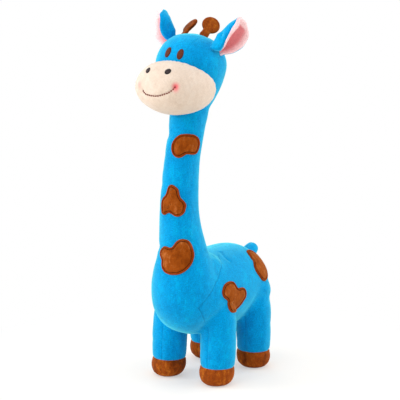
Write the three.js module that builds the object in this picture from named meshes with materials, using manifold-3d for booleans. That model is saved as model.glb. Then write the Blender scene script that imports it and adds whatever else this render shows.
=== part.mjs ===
// A long-necked plush giraffe that stands on four stuffed legs: sewn cloth covers over fibre filling,
// appliqued patches, an embroidered face, cupped two-layer ears and flat padded horns.
// Millimetres, +Z up. The toy faces -Y and +X is its left side. The origin lies on the floor under
// the middle of the whole toy.

import * as THREE from "three";
import { mergeVertices } from "three/addons/utils/BufferGeometryUtils.js";
import Module from "manifold-3d";

const wasm = await Module();
wasm.setup();

// Cloth and fit.
const clothThickness = 2.2; // backing and pile of the covers
const seamGap = 0.3; // between two pieces that touch
const fillingGap = 0.5; // between a cover and its filling
const patchThickness = 1.6;
const threadThickness = 1; // satin stitches of the face
const soleFlat = 0.5; // how far the floor presses each sole flat

// Torso: a swelling barrel that lies along Y.
const torsoFrontY = -106;
const torsoRearY = 128;
const torsoHalfWidth = 63;
const rumpHalfWidth = 65;
const torsoHalfHeight = 65;
const torsoHeight = 141.5; // of its middle line above the floor

// Neck and chest: one tapering bag from between the front legs up into the head.
const chestHalfWidth = 55;
const chestDepth = 68; // from its widest ring down to its lowest point
const chestY = -63;
const chestHeight = 152;
const neckRadius = 28.4;
const neckY = -82; // of its middle line half way up

// Head and muzzle.
const headRadius = 55;
const headY = -48;
const headHeight = 509;
const neckInHead = 39; // from the middle of the head down to the end of the neck in it
const muzzleHalfWidth = 61;
const muzzleHalfHeight = 44;
const muzzleHalfLength = 62;
const muzzleReach = 42; // of its middle in front of the head's
const muzzleDrop = 28; // of its middle below the head's
const muzzleLiftDegrees = 5;

// Embroidered face.
const eyeSpread = 12.2; // of each eye from the middle of the face
const eyeRise = 23.5; // above the middle of the head
const eyeHalfWidth = 5.2;
const eyeHalfHeight = 8;
const eyeLeanDegrees = 3; // of their tops, towards the outside
const nostrilSpread = 18;
const nostrilRise = 27; // above the middle of the muzzle
const nostrilHalfWidth = 5;
const nostrilHalfHeight = 4.3;
const nostrilLeanDegrees = 12;
const mouthDrop = 11; // of its lowest stitches below the middle of the muzzle
const mouthHalfWidth = 32;
const smile = 14; // how far its corners turn up
const mouthLine = 1.8;

// Legs and hooves.
const legRadius = 27.3;
const legTrack = 95; // between the middles of a left and a right leg
const frontLegY = -44;
const rearLegY = 70;
const legTopHeight = 168; // where its form ends inside the torso
const hoofHeight = 30;
const hoofRadius = 27.8;

// Patches. Those of the neck lie a share of the way from the widest ring of the chest to the end of
// the neck, and face an azimuth, 0 for the front and 90 for the toy's left.
const beanWidth = 43;
const saddleWidth = 43;
const heartWidth = 55;
const cloverWidth = 67;
const kidneyWidth = 50;
const neckPatchPlaces = {
  neck_patch_upper: { rise: 0.748, azimuth: 40 },
  neck_patch_middle: { rise: 0.484, azimuth: 8 },
  neck_patch_lower: { rise: 0.204, azimuth: 12 },
  nape_patch_upper: { rise: 0.616, azimuth: 200 },
  nape_patch_lower: { rise: 0.346, azimuth: 250 },
};
const flankPatchY = -15;
const flankPatchDrop = 4; // of its middle below the torso's middle line
const rumpPatchY = 56;
const rumpPatchAzimuth = 119;
const rumpPatchTilt = 24;

// Ears: two cupped panels each, pinched together where they are sewn on.
const earLength = 63;
const earHalfWidth = 35; // along the curve of the cup
const earCupRadius = 24;
const earRootHalfWidth = 22;
const earRootRadius = 13;
const earFuller = 0.06; // how much the wing at the back is wider than the one in front
const earArch = 3; // how far the tip leans towards the opening
const earPanelThickness = 2;
const earSeat = { left: [0.76, 0.08, 0.6], right: [-0.66, 0.1, 0.72] }; // seen from the head's middle
const earRise = { left: [0.44, 0.5, 0.66], right: [-0.5, 0.55, 0.67] }; // the way each one points
const earFlopDegrees = 20;

// Horns: flat padded lollipops.
const hornSpread = 18.5; // of each seam from the middle of the head
const hornSetback = 10; // of the seams behind the crown
const hornDiscRadius = 14.2;
const hornStalkWidth = 13.5;
const hornLength = 24; // from the seam to the middle of the disc
const hornThickness = 5;
const hornEdgeRadius = 1.6;
const hornBendDegrees = 20;

// Tail.
const tailRadius = 10;
const tailLength = 44;
const tailY = 111; // of its seam, as tailHeight is
const tailHeight = 172;
const tailLiftDegrees = 20;
const tailBendDegrees = 15;

const cloth = (color, roughness = 0.95) =>
  new THREE.MeshStandardMaterial({ color, roughness, metalness: 0 });
const bluePlush = cloth("#159ad9");
const brownPlush = cloth("#96481c");
const creamPlush = cloth("#f0dfcb");
const pinkPlush = cloth("#eda9a8");
const brownVelvet = cloth("#9c4a1a");
const brownThread = cloth("#6b3a22", 0.6);
const darkThread = cloth("#3a2a2c", 0.6);
const fibreFilling = cloth("#f6f6f2");

const { degToRad } = THREE.MathUtils;
const X_AXIS = new THREE.Vector3(1, 0, 0);
const Z_AXIS = new THREE.Vector3(0, 0, 1);
const move = (x, y, z) => new THREE.Matrix4().makeTranslation(x, y, z);
const turn = (axis, angle) => new THREE.Matrix4().makeRotationAxis(axis, angle);
const placed = (...matrices) => matrices.reduce((a, b) => a.clone().multiply(b));
const sideName = (side) => (side > 0 ? "left" : "right");

/** The solid inside a geometry whose triangles close on themselves. */
function solidOf(geometry) {
  const bare = geometry.clone();
  bare.deleteAttribute("normal");
  bare.deleteAttribute("uv");
  const merged = mergeVertices(bare, 1e-4);
  return new wasm.Manifold(
    new wasm.Mesh({
      numProp: 3,
      vertProperties: merged.getAttribute("position").array,
      triVerts: new Uint32Array(merged.index.array),
    }),
  );
}

/** The largest separate body of a solid, which leaves the slivers of a cut behind. */
const largest = (solid) => solid.decompose().reduce((a, b) => (a.volume() > b.volume() ? a : b));

/** What stays of a solid when each of the others is taken away. */
const without = (solid, ...others) => others.reduce((rest, other) => rest.subtract(other), solid);

/** The part of a solid between two heights. */
const between = (solid, low, high) =>
  solid.trimByPlane([0, 0, 1], low).trimByPlane([0, 0, -1], -high);

/** A solid as it is after a matrix has moved it. */
const moved = (solid, matrix) => solid.transform(matrix.elements);

/** A named mesh that holds a solid. */
function meshOf(name, solid, material) {
  const { vertProperties, triVerts } = solid.getMesh();
  const geometry = new THREE.BufferGeometry();
  geometry.setAttribute("position", new THREE.BufferAttribute(vertProperties, 3));
  geometry.setIndex(new THREE.BufferAttribute(triVerts, 1));
  const mesh = new THREE.Mesh(geometry, material);
  mesh.name = name;
  return mesh;
}

/** A closed geometry from rings of as many points each, with a pole point at either end. */
function stackRings(lowPole, rings, highPole) {
  const sides = rings[0].length;
  const points = [lowPole, ...rings.flat(), highPole];
  const at = (ring, side) => 1 + ring * sides + (side % sides);
  const last = rings.length - 1;
  const triangles = [];
  for (let side = 0; side < sides; side++) {
    triangles.push(0, at(0, side + 1), at(0, side));
    triangles.push(points.length - 1, at(last, side), at(last, side + 1));
    for (let ring = 0; ring < last; ring++) {
      triangles.push(at(ring, side), at(ring, side + 1), at(ring + 1, side + 1));
      triangles.push(at(ring, side), at(ring + 1, side + 1), at(ring + 1, side));
    }
  }
  return new THREE.BufferGeometry().setFromPoints(points).setIndex(triangles);
}

/**
 * A stuffed form: rings stacked along its own +Z from pole to pole. Each row of the profile is
 * [half width, middle of the ring in Y, height], and the rings have depthRatio times that width in Y.
 */
class StuffedForm {
  constructor({ profile, depthRatio = 1, rings, sides, place = new THREE.Matrix4() }) {
    this.curve = new THREE.CatmullRomCurve3(profile.map((row) => new THREE.Vector3(...row)));
    Object.assign(this, { depthRatio, rings, sides, place });
  }

  point(along, around) {
    const { x: halfWidth, y: middle, z: height } = this.curve.getPoint(along);
    const angle = 2 * Math.PI * around;
    return new THREE.Vector3(
      halfWidth * Math.cos(angle),
      middle + halfWidth * this.depthRatio * Math.sin(angle),
      height,
    );
  }

  normal(along, around) {
    const step = 1e-3;
    const [lower, upper] = [Math.max(along - step, 0), Math.min(along + step, 1)];
    const up = this.point(upper, around).sub(this.point(lower, around));
    const round = this.point(along, around + step).sub(this.point(along, around - step));
    return round.cross(up).normalize();
  }

  /** The form as a solid, grown by offset; coarse keeps every second ring and side. */
  solid(offset = 0, coarse = false) {
    const ringCount = coarse ? this.rings / 2 : this.rings;
    const sides = coarse ? this.sides / 2 : this.sides;
    const rings = [];
    for (let ring = 1; ring < ringCount; ring++) {
      const along = ring / ringCount;
      const grown = (_, side) =>
        this.point(along, side / sides).addScaledVector(this.normal(along, side / sides), offset);
      rings.push(Array.from({ length: sides }, grown));
    }
    const lowPole = this.point(0, 0).addScaledVector(Z_AXIS, -offset);
    const highPole = this.point(1, 0).addScaledVector(Z_AXIS, offset);
    return solidOf(stackRings(lowPole, rings, highPole).applyMatrix4(this.place));
  }

  /** The hollow that the cover leaves inside this form. */
  hollow() {
    return this.solid(-clothThickness, true);
  }

  /** What fills the hollow, grown by extra where something else has to stay clear of it. */
  filling(extra = 0) {
    return this.solid(-clothThickness - fillingGap + extra, true);
  }

  /** The layer of this thickness that lies on the cover. */
  layer(thickness) {
    return this.solid(seamGap + thickness).subtract(this.solid(seamGap));
  }
}

/** The profile of an egg of revolution with these half axes, a little fuller than an ellipse. */
function eggProfile(halfWidth, halfLength, steps = 12) {
  const fullness = 0.8;
  return Array.from({ length: steps + 1 }, (_, step) => {
    const angle = (Math.PI * step) / steps;
    return [halfWidth * Math.sin(angle) ** fullness, 0, -halfLength * Math.cos(angle)];
  });
}

// Turns a form's +Z to the front, -Y, and its +Y upwards.
const lyingForward = turn(X_AXIS, Math.PI / 2);

/** A row of the torso's profile: its half width, its sag and its place, 0 at the rear, 1 in front. */
const torsoRow = (halfWidth, sag, share) => [
  halfWidth,
  torsoHeight - sag * torsoHalfHeight,
  THREE.MathUtils.lerp(-torsoRearY, -torsoFrontY, share),
];

const torsoForm = new StuffedForm({
  profile: [
    torsoRow(0, 0.215, 0),
    torsoRow(0.3 * rumpHalfWidth, 0.2, 0.0085),
    torsoRow(0.7 * rumpHalfWidth, 0.154, 0.06),
    torsoRow(0.94 * rumpHalfWidth, 0.092, 0.162),
    torsoRow(rumpHalfWidth, 0.031, 0.29),
    torsoRow(torsoHalfWidth, 0, 0.692),
    torsoRow(0.9 * torsoHalfWidth, 0, 0.838),
    torsoRow(0.64 * torsoHalfWidth, 0, 0.94),
    torsoRow(0.28 * torsoHalfWidth, 0, 0.9915),
    torsoRow(0, 0, 1),
  ],
  depthRatio: torsoHalfHeight / torsoHalfWidth,
  rings: 16,
  sides: 28,
  place: lyingForward,
});

/** A row of the chest's profile, a share of the way down from its widest ring. */
const chestRow = (width, back, share) => [
  width * chestHalfWidth,
  chestY + back * chestHalfWidth,
  chestHeight - share * chestDepth,
];

/** A height on the neck, a share of the way from the widest ring of the chest to the neck's end. */
const neckHeight = (share) => THREE.MathUtils.lerp(chestHeight, headHeight - neckInHead, share);

/** A row of the neck's profile: its width, how far it leans back to the head, and its place. */
const neckRow = (width, lean, share) => [
  width * neckRadius,
  THREE.MathUtils.lerp(neckY, headY, lean),
  neckHeight(share),
];

const neckForm = new StuffedForm({
  profile: [
    chestRow(0, 0.145, 1),
    chestRow(0.34, 0.127, 0.97),
    chestRow(0.72, 0.073, 0.765),
    chestRow(0.94, 0.018, 0.41),
    chestRow(1, 0, 0),
    [0.9 * chestHalfWidth, THREE.MathUtils.lerp(chestY, neckY, 0.21), neckHeight(0.1)],
    neckRow(1.458, 0.38, 0.189),
    neckRow(1.246, 0.206, 0.283),
    neckRow(1.113, 0.06, 0.396),
    neckRow(1.042, 0.074, 0.513),
    neckRow(1, 0.25, 0.673),
    neckRow(1, 0.56, 0.805),
    neckRow(1, 0.88, 0.937),
    neckRow(0.6, 1, 0.987),
    neckRow(0, 1.03, 1),
  ],
  rings: 22,
  sides: 20,
});

/** A row of the head's profile, in shares of its radius: its width, its place and how it leans. */
const headRow = (width, rise, lean = 0) => [
  width * headRadius,
  headY - lean * headRadius,
  headHeight + rise * headRadius,
];

const headForm = new StuffedForm({
  profile: [
    headRow(0, -1.345, 0.036),
    headRow(0.42, -1.31, 0.036),
    headRow(0.66, -0.98, 0.018),
    headRow(0.88, -0.51),
    headRow(1, 0),
    headRow(0.94, 0.364),
    headRow(0.72, 0.71),
    headRow(0.36, 0.918),
    headRow(0, 0.955),
  ],
  rings: 14,
  sides: 24,
});

const muzzleY = headY - muzzleReach;
const muzzleHeight = headHeight - muzzleDrop;
const muzzleForm = new StuffedForm({
  profile: eggProfile(muzzleHalfWidth, muzzleHalfLength),
  depthRatio: muzzleHalfHeight / muzzleHalfWidth,
  rings: 14,
  sides: 24,
  place: placed(
    move(0, muzzleY, muzzleHeight),
    turn(X_AXIS, -degToRad(muzzleLiftDegrees)),
    lyingForward,
  ),
});

/** A leg's form from its sole to its root in the torso, where it leans inwards. */
function legForm(side, y) {
  const row = (width, lean, share) => [
    width * legRadius,
    lean * legRadius,
    THREE.MathUtils.lerp(hoofHeight, legTopHeight, share),
  ];
  return new StuffedForm({
    profile: [
      [0, 0, -soleFlat],
      [0.52 * hoofRadius, 0, -0.4 * soleFlat],
      [0.86 * hoofRadius, 0, 0.2 * hoofHeight],
      [hoofRadius, 0, 0.6 * hoofHeight],
      row(0.993, 0, 0),
      row(1, 0, 0.16),
      row(1.02, 0.04, 0.36),
      row(1, 0.15, 0.61),
      row(0.8, 0.44, 0.8),
      row(0.4, 0.73, 0.957),
      row(0, 0.8, 1),
    ],
    rings: 14,
    sides: 16,
    place: placed(move((side * legTrack) / 2, y, 0), turn(Z_AXIS, (side * Math.PI) / 2)),
  });
}

const legs = [
  { name: "front_left", form: legForm(1, frontLegY) },
  { name: "front_right", form: legForm(-1, frontLegY) },
  { name: "rear_left", form: legForm(1, rearLegY) },
  { name: "rear_right", form: legForm(-1, rearLegY) },
];
const legHollows = legs.map(({ form }) => form.hollow());

/** A form's cover, less the neighbours that are cut out of it. */
const cover = (form, ...cuts) => largest(without(form.solid(), form.hollow(), ...cuts));

const grown = (form) => form.solid(seamGap);

/** The covers and fillings of the torso, neck, head and muzzle. */
function trunk() {
  const neckFilling = without(
    neckForm.filling(),
    torsoForm.filling(seamGap),
    headForm.filling(seamGap),
    grown(muzzleForm),
  );
  const neckCuts = [torsoForm, headForm, muzzleForm].map(grown);
  return [
    meshOf("torso_cover", cover(torsoForm, neckForm.hollow(), ...legHollows), bluePlush),
    meshOf("neck_and_chest_cover", cover(neckForm, ...neckCuts, ...legHollows), bluePlush),
    meshOf("head_cover", cover(headForm, neckForm.hollow(), muzzleForm.hollow()), bluePlush),
    meshOf("muzzle_cover", cover(muzzleForm, grown(headForm)), creamPlush),
    meshOf("torso_filling", torsoForm.filling(), fibreFilling),
    meshOf("neck_filling", largest(neckFilling), fibreFilling),
    meshOf("head_filling", headForm.filling().add(muzzleForm.filling()), fibreFilling),
  ];
}

/** A leg's sleeve, its hoof cup with the flat sole, and the filling of both. */
function leg({ name, form }) {
  const shell = form.solid().subtract(form.hollow());
  const sleeve = between(shell, hoofHeight + seamGap / 2, legTopHeight);
  const roots = without(form.filling(), torsoForm.filling(seamGap), neckForm.filling(seamGap));
  return [
    meshOf(`${name}_leg_cover`, largest(without(sleeve, grown(torsoForm), grown(neckForm))), bluePlush),
    meshOf(`${name}_hoof`, between(shell, 0, hoofHeight - seamGap / 2), brownPlush),
    meshOf(`${name}_leg_filling`, largest(roots), fibreFilling),
  ];
}

/** A smooth closed outline through corners that are given in hundredths of its width. */
function roundOutline(width, corners) {
  const corner = ([across, up]) => new THREE.Vector3(across, up, 0).multiplyScalar(width / 100);
  const curve = new THREE.CatmullRomCurve3(corners.map(corner), true);
  return curve.getPoints(2 * corners.length).slice(1);
}

/** An oval outline that leans by an angle, positive to its own left. */
function oval(halfWidth, halfHeight, leanDegrees = 0, steps = 16) {
  return Array.from({ length: steps }, (_, step) => {
    const angle = (2 * Math.PI * step) / steps;
    const point = new THREE.Vector2(halfWidth * Math.cos(angle), halfHeight * Math.sin(angle));
    return point.rotateAround(new THREE.Vector2(), degToRad(leanDegrees));
  });
}

/**
 * A piece of cloth or stitching that lies on a form: what an outline cuts from the layer on it. The
 * outline faces outwards at an azimuth, 0 for the front and 90 for the toy's left, and tilts up.
 */
function onForm(form, { from, azimuth = 0, tilt = 0, outline, thickness, clearOf = [] }) {
  const reach = 130;
  const shape = new THREE.Shape(outline);
  const prism = new THREE.ExtrudeGeometry(shape, { depth: reach, bevelEnabled: false });
  const place = placed(
    move(...from),
    turn(Z_AXIS, degToRad(azimuth)),
    turn(X_AXIS, Math.PI / 2 - degToRad(tilt)),
  );
  return largest(without(moved(solidOf(prism), place).intersect(form.layer(thickness)), ...clearOf));
}

/** The same outline seen in a mirror. */
const mirrored = (outline) => outline.map(({ x, y }) => new THREE.Vector2(-x, y)).reverse();

/** The middle of a ring of the neck at a height. */
function neckMiddle(height) {
  const near = (a, b) => (Math.abs(a.z - height) < Math.abs(b.z - height) ? a : b);
  return [0, neckForm.curve.getPoints(200).reduce(near).y, height];
}

const beanOutline = roundOutline(beanWidth, [
  [-47, -12],
  [-37, 21],
  [-7, 37],
  [33, 35],
  [53, 14],
  [49, -14],
  [33, -30],
  [5, -28],
  [-21, -42],
  [-42, -35],
]);
const saddleOutline = roundOutline(saddleWidth, [
  [0, 58],
  [21, 47],
  [30, 19],
  [51, -12],
  [44, -40],
  [21, -58],
  [-7, -42],
  [-33, -56],
  [-49, -40],
  [-44, 0],
  [-23, 23],
  [-19, 47],
]);
const heartOutline = roundOutline(heartWidth, [
  [22, 51],
  [44, 40],
  [53, 11],
  [45, -24],
  [24, -45],
  [-5, -51],
  [-35, -42],
  [-44, -15],
  [-47, 7],
  [-36, 25],
  [-18, 25],
  [-4, 38],
]);
const cloverOutline = roundOutline(cloverWidth, [
  [-30, 43],
  [-12, 42],
  [4, 28],
  [27, 22],
  [48, 9],
  [51, -21],
  [34, -36],
  [18, -46],
  [-6, -37],
  [-22, -16],
  [-45, 6],
  [-49, 27],
]);
const kidneyOutline = roundOutline(kidneyWidth, [
  [-44, 52],
  [-8, 56],
  [32, 40],
  [52, 4],
  [48, -36],
  [20, -56],
  [-8, -44],
  [-16, -16],
  [-32, 0],
  [-48, 24],
]);

/** The brown patches of the neck, the flanks and the rump. */
function patches() {
  const patch = (name, form, options) =>
    meshOf(name, onForm(form, { thickness: patchThickness, ...options }), brownVelvet);
  const onNeck = (name, outline) => {
    const { rise, azimuth } = neckPatchPlaces[name];
    return patch(name, neckForm, { from: neckMiddle(neckHeight(rise)), azimuth, outline });
  };
  const clearOf = [neckForm, ...legs.map(({ form }) => form)].map(grown);
  const onTorso = (side) => [
    patch(`flank_patch_${sideName(side)}`, torsoForm, {
      from: [0, flankPatchY, torsoHeight - flankPatchDrop],
      azimuth: side * 90,
      outline: side > 0 ? cloverOutline : mirrored(cloverOutline),
      clearOf,
    }),
    patch(`rump_patch_${sideName(side)}`, torsoForm, {
      from: [0, rumpPatchY, torsoHeight],
      azimuth: side * rumpPatchAzimuth,
      tilt: rumpPatchTilt,
      outline: side > 0 ? kidneyOutline : mirrored(kidneyOutline),
      clearOf,
    }),
  ];
  return [
    onNeck("neck_patch_upper", beanOutline),
    onNeck("neck_patch_middle", saddleOutline),
    onNeck("neck_patch_lower", heartOutline),
    onNeck("nape_patch_upper", mirrored(saddleOutline)),
    onNeck("nape_patch_lower", mirrored(beanOutline)),
    ...[1, -1].flatMap(onTorso),
  ];
}

/** The embroidered eyes, nostrils and mouth. */
function face() {
  const stitches = (name, form, from, outline, material) =>
    meshOf(name, onForm(form, { from, outline, thickness: threadThickness }), material);
  const eyeFrom = (side) => [side * eyeSpread, headY, headHeight + eyeRise];
  const nostrilFrom = (side) => [side * nostrilSpread, muzzleY, muzzleHeight + nostrilRise];
  const pair = (make) => [1, -1].map(make);
  const lip = (raised) =>
    Array.from({ length: 9 }, (_, step) => {
      const across = step / 4 - 1;
      return new THREE.Vector2(mouthHalfWidth * across, smile * across * across + raised);
    });
  const eye = (side) => {
    const outline = oval(eyeHalfWidth, eyeHalfHeight, -side * eyeLeanDegrees);
    return stitches(`eye_${sideName(side)}`, headForm, eyeFrom(side), outline, brownThread);
  };
  const nostril = (side) => {
    const outline = oval(nostrilHalfWidth, nostrilHalfHeight, side * nostrilLeanDegrees);
    return stitches(`nostril_${sideName(side)}`, muzzleForm, nostrilFrom(side), outline, darkThread);
  };
  const lips = [...lip(0), ...lip(mouthLine).reverse()];
  return [
    ...pair(eye),
    ...pair(nostril),
    stitches("mouth", muzzleForm, [0, muzzleY, muzzleHeight - mouthDrop], lips, brownThread),
  ];
}

/** A frame of axes: across, along and out, at a point. */
const axesAt = (point, across, along, out) =>
  placed(move(...point), new THREE.Matrix4().makeBasis(across, along, out));

/** What stays of a solid that turns each way about the X axis of a frame, clear of an obstacle. */
function clearOfSwing(solid, obstacle, frame, swingDegrees) {
  const home = frame.clone().invert();
  const turns = [-1, -0.5, 0, 0.5, 1];
  return turns.reduce((rest, share) => {
    const swing = placed(frame, turn(X_AXIS, degToRad(share * swingDegrees)), home);
    return rest.subtract(moved(obstacle, swing));
  }, solid);
}

/** A smooth value between evenly spaced ones, at a share from 0 to 1 of the way through them. */
function blendOf(values, share) {
  const curve = new THREE.SplineCurve(values.map((value, step) => new THREE.Vector2(step, value)));
  return curve.getPoint(THREE.MathUtils.clamp(share, 0, 1)).y;
}

/** A closed geometry between two surfaces given as rows of points, the high one on top. */
function thickSheet(lowRows, highRows) {
  const [steps, spans] = [lowRows.length - 1, lowRows[0].length - 1];
  const size = (steps + 1) * (spans + 1);
  const low = (step, span) => step * (spans + 1) + span;
  const high = (step, span) => size + low(step, span);
  const triangles = [];
  for (let step = 0; step < steps; step++)
    for (let span = 0; span < spans; span++) {
      const corners = [
        [step, span],
        [step, span + 1],
        [step + 1, span + 1],
        [step + 1, span],
      ];
      const [a, b, c, d] = corners.map((corner) => high(...corner));
      const [e, f, g, h] = corners.map((corner) => low(...corner));
      triangles.push(a, b, c, a, c, d, e, g, f, e, h, g);
    }
  const rim = [
    ...Array.from({ length: spans }, (_, span) => [0, span]),
    ...Array.from({ length: steps }, (_, step) => [step, spans]),
    ...Array.from({ length: spans }, (_, span) => [steps, spans - span]),
    ...Array.from({ length: steps }, (_, step) => [steps - step, 0]),
  ];
  rim.forEach((corner, index) => {
    const next = rim[(index + 1) % rim.length];
    triangles.push(low(...corner), low(...next), high(...next));
    triangles.push(low(...corner), high(...next), high(...corner));
  });
  const points = [...lowRows.flat(), ...highRows.flat()];
  return new THREE.BufferGeometry().setFromPoints(points).setIndex(triangles);
}

/** A point of an ear's cup in the ear's own frame, offset towards its opening. */
function earPoint(along, across, offset) {
  const wide = [0.92, 1, 0.96, 0.8, 0.48, 0.04].map((share) => share * earHalfWidth);
  const fuller = 1 + earFuller * across;
  const halfWidth = fuller * blendOf([earRootHalfWidth, ...wide], along);
  const cup = blendOf([earRootRadius, 0.85 * earCupRadius, earCupRadius, 1.15 * earCupRadius], along);
  const angle = (halfWidth * across) / cup;
  const inner = cup - offset;
  return new THREE.Vector3(
    inner * Math.sin(angle),
    earLength * along,
    cup - inner * Math.cos(angle) + earArch * Math.max(along, 0) ** 2,
  );
}

/** One curved panel of an ear, between two distances from the cup's own surface. */
function earPanel(low, high) {
  const [steps, spans] = [10, 6];
  const sunkRoot = -0.2;
  const rows = (offset) =>
    Array.from({ length: steps + 1 }, (_, step) =>
      Array.from({ length: spans + 1 }, (_, span) =>
        earPoint(sunkRoot + ((1 - sunkRoot) * step) / steps, (2 * span) / spans - 1, offset),
      ),
    );
  return solidOf(thickSheet(rows(low), rows(high)));
}

/** A point on the head's skin, in a direction from the middle of the head. */
function onHead(direction) {
  const middle = new THREE.Vector3(0, headY, headHeight);
  return middle.addScaledVector(direction.clone().normalize(), headRadius + seamGap);
}

/** The frame of an ear: across its root, along it, and out of its cup. */
function earFrame(side) {
  const along = new THREE.Vector3(...earRise[sideName(side)]).normalize();
  const facing = new THREE.Vector3(side * 0.85, -0.2, -0.5);
  const out = facing.addScaledVector(along, -facing.dot(along)).normalize();
  const seat = onHead(new THREE.Vector3(...earSeat[sideName(side)]));
  return axesAt(seat, along.clone().cross(out), along, out);
}

/** The blue outer panel and the pink lining of an ear. */
function ear(side) {
  const frame = earFrame(side);
  const head = grown(headForm);
  const place = placed(frame, new THREE.Matrix4().makeScale(side, 1, 1));
  const panel = (low, high) =>
    largest(clearOfSwing(moved(earPanel(low, high), place), head, frame, earFlopDegrees));
  const name = sideName(side);
  return [
    meshOf(`ear_back_${name}`, panel(-earPanelThickness, 0), bluePlush),
    meshOf(`ear_lining_${name}`, panel(seamGap, seamGap + earPanelThickness), pinkPlush),
  ];
}

/** The frame of a horn: across its stalk, along it, and out of its flat face. */
function hornFrame(side) {
  const along = new THREE.Vector3(0, 0.82, 0.57).normalize();
  const facing = new THREE.Vector3(side * 0.55, -0.6, 0.58);
  const out = facing.addScaledVector(along, -facing.dot(along)).normalize();
  const rise = Math.sqrt(headRadius ** 2 - hornSpread ** 2 - hornSetback ** 2);
  const seat = onHead(new THREE.Vector3(side * hornSpread, hornSetback, rise));
  return axesAt(seat, along.clone().cross(out), along, out);
}

/** A horn: a disc on a short stalk, cut from padded cloth with soft edges. */
function horn(side) {
  const sunkRoot = 8;
  const radius = hornDiscRadius - hornEdgeRadius;
  const half = hornStalkWidth / 2 - hornEdgeRadius;
  const start = Math.asin(half / radius);
  const shape = new THREE.Shape();
  shape.moveTo(-half, -sunkRoot);
  shape.lineTo(half, -sunkRoot);
  shape.absarc(0, hornLength, radius, start - Math.PI / 2, 1.5 * Math.PI - start, false);
  shape.closePath();
  const padded = new THREE.ExtrudeGeometry(shape, {
    depth: hornThickness - 2 * hornEdgeRadius,
    bevelThickness: hornEdgeRadius,
    bevelSize: hornEdgeRadius,
    bevelSegments: 2,
    curveSegments: 10,
  });
  const frame = hornFrame(side);
  const centred = placed(frame, move(0, 0, hornEdgeRadius - hornThickness / 2));
  const solid = clearOfSwing(moved(solidOf(padded), centred), grown(headForm), frame, hornBendDegrees);
  return meshOf(`horn_${sideName(side)}`, largest(solid), brownPlush);
}

/** The tail: a stuffed nub that points up and back from the top of the rump. */
function tail() {
  const lift = degToRad(tailLiftDegrees);
  const along = new THREE.Vector3(0, Math.cos(lift), Math.sin(lift));
  const across = X_AXIS.clone().negate();
  const frame = axesAt([0, tailY, tailHeight], across, across.clone().cross(along).negate(), along);
  const sunkRoot = 12;
  const form = new StuffedForm({
    profile: [
      [0, 0, -sunkRoot],
      [0.8 * tailRadius, 0, 3 - sunkRoot],
      [0.94 * tailRadius, 0, 0],
      [tailRadius, 0, tailLength - tailRadius],
      [0.74 * tailRadius, 0, tailLength - 0.33 * tailRadius],
      [0, 0, tailLength],
    ],
    rings: 10,
    sides: 12,
    place: frame,
  });
  const solid = clearOfSwing(form.solid(), grown(torsoForm), frame, tailBendDegrees);
  return meshOf("tail", largest(solid), bluePlush);
}

const toy = new THREE.Group();
toy.add(...trunk(), ...legs.flatMap(leg), ...patches(), ...face());
toy.add(...[1, -1].flatMap(ear), ...[1, -1].map(horn), tail());

export default toy;
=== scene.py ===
"""The sewn look of a long-necked plush giraffe pillow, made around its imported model."""

import functools
import logging
import math
from dataclasses import dataclass, field, replace
from enum import Enum
from typing import ClassVar, Sequence

import bpy
import numpy as np
from mathutils import Matrix, Vector, noise
from mathutils.bvhtree import BVHTree
from mathutils.kdtree import KDTree


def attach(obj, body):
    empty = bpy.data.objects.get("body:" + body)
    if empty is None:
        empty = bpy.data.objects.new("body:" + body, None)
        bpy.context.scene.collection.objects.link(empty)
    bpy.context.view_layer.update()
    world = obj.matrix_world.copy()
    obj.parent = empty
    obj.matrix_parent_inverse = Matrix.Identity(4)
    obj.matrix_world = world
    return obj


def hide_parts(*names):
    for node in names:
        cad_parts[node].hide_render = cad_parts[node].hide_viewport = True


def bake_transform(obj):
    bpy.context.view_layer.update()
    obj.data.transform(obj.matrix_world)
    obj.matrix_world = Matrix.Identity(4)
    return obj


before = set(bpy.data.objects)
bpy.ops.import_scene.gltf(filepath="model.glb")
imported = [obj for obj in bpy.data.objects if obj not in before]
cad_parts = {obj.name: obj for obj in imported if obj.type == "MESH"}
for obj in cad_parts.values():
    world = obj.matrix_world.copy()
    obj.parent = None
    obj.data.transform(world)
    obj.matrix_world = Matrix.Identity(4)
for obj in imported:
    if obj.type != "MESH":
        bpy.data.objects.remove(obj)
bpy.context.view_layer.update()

LOG = logging.getLogger("giraffe")
MM = 0.001
ROOT_BODY = "stuffed_body"
UP = Vector((0, 0, 1))
SEAT_LIFT = 0.3  # how far the ears and horns are seated above the ball of the head, in millimetres
Points = np.ndarray
Colour = tuple[float, float, float, float]
Socket = bpy.types.NodeSocket


class Side(Enum):
    """A side of the toy; the value is the sign of X there."""

    LEFT = 1
    RIGHT = -1

    @property
    def word(self) -> str:
        """The side as the names of its pieces have it."""
        return self.name.lower()


class Slot(Enum):
    """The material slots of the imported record."""

    BLUE_PLUSH = "blue_plush"
    BROWN_PLUSH = "brown_plush"
    CREAM_PLUSH = "cream_plush"
    PINK_PLUSH = "pink_plush"
    BROWN_VELVET = "brown_velvet"
    BROWN_THREAD = "brown_thread"
    DARK_THREAD = "dark_thread"


def linear(red: int, green: int, blue: int) -> Colour:
    """The linear colour of an 8-bit one."""
    shares = (channel / 255 for channel in (red, green, blue))
    return (*((c / 12.92 if c <= 0.04045 else ((c + 0.055) / 1.055) ** 2.4) for c in shares), 1.0)


def vertex_rows(mesh: bpy.types.Mesh, name: str) -> Points:
    """One vector of each vertex of a mesh, a row each.

    Args:
        mesh: the mesh.
        name: the vertices' property.

    Returns:
        The rows.
    """
    flat = np.empty(len(mesh.vertices) * 3, np.float32)
    mesh.vertices.foreach_get(name, flat)
    return flat.reshape(-1, 3).astype(float)


def coordinates(mesh: bpy.types.Mesh) -> Points:
    """The places of a mesh's vertices, a row each."""
    return vertex_rows(mesh, "co")


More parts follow.
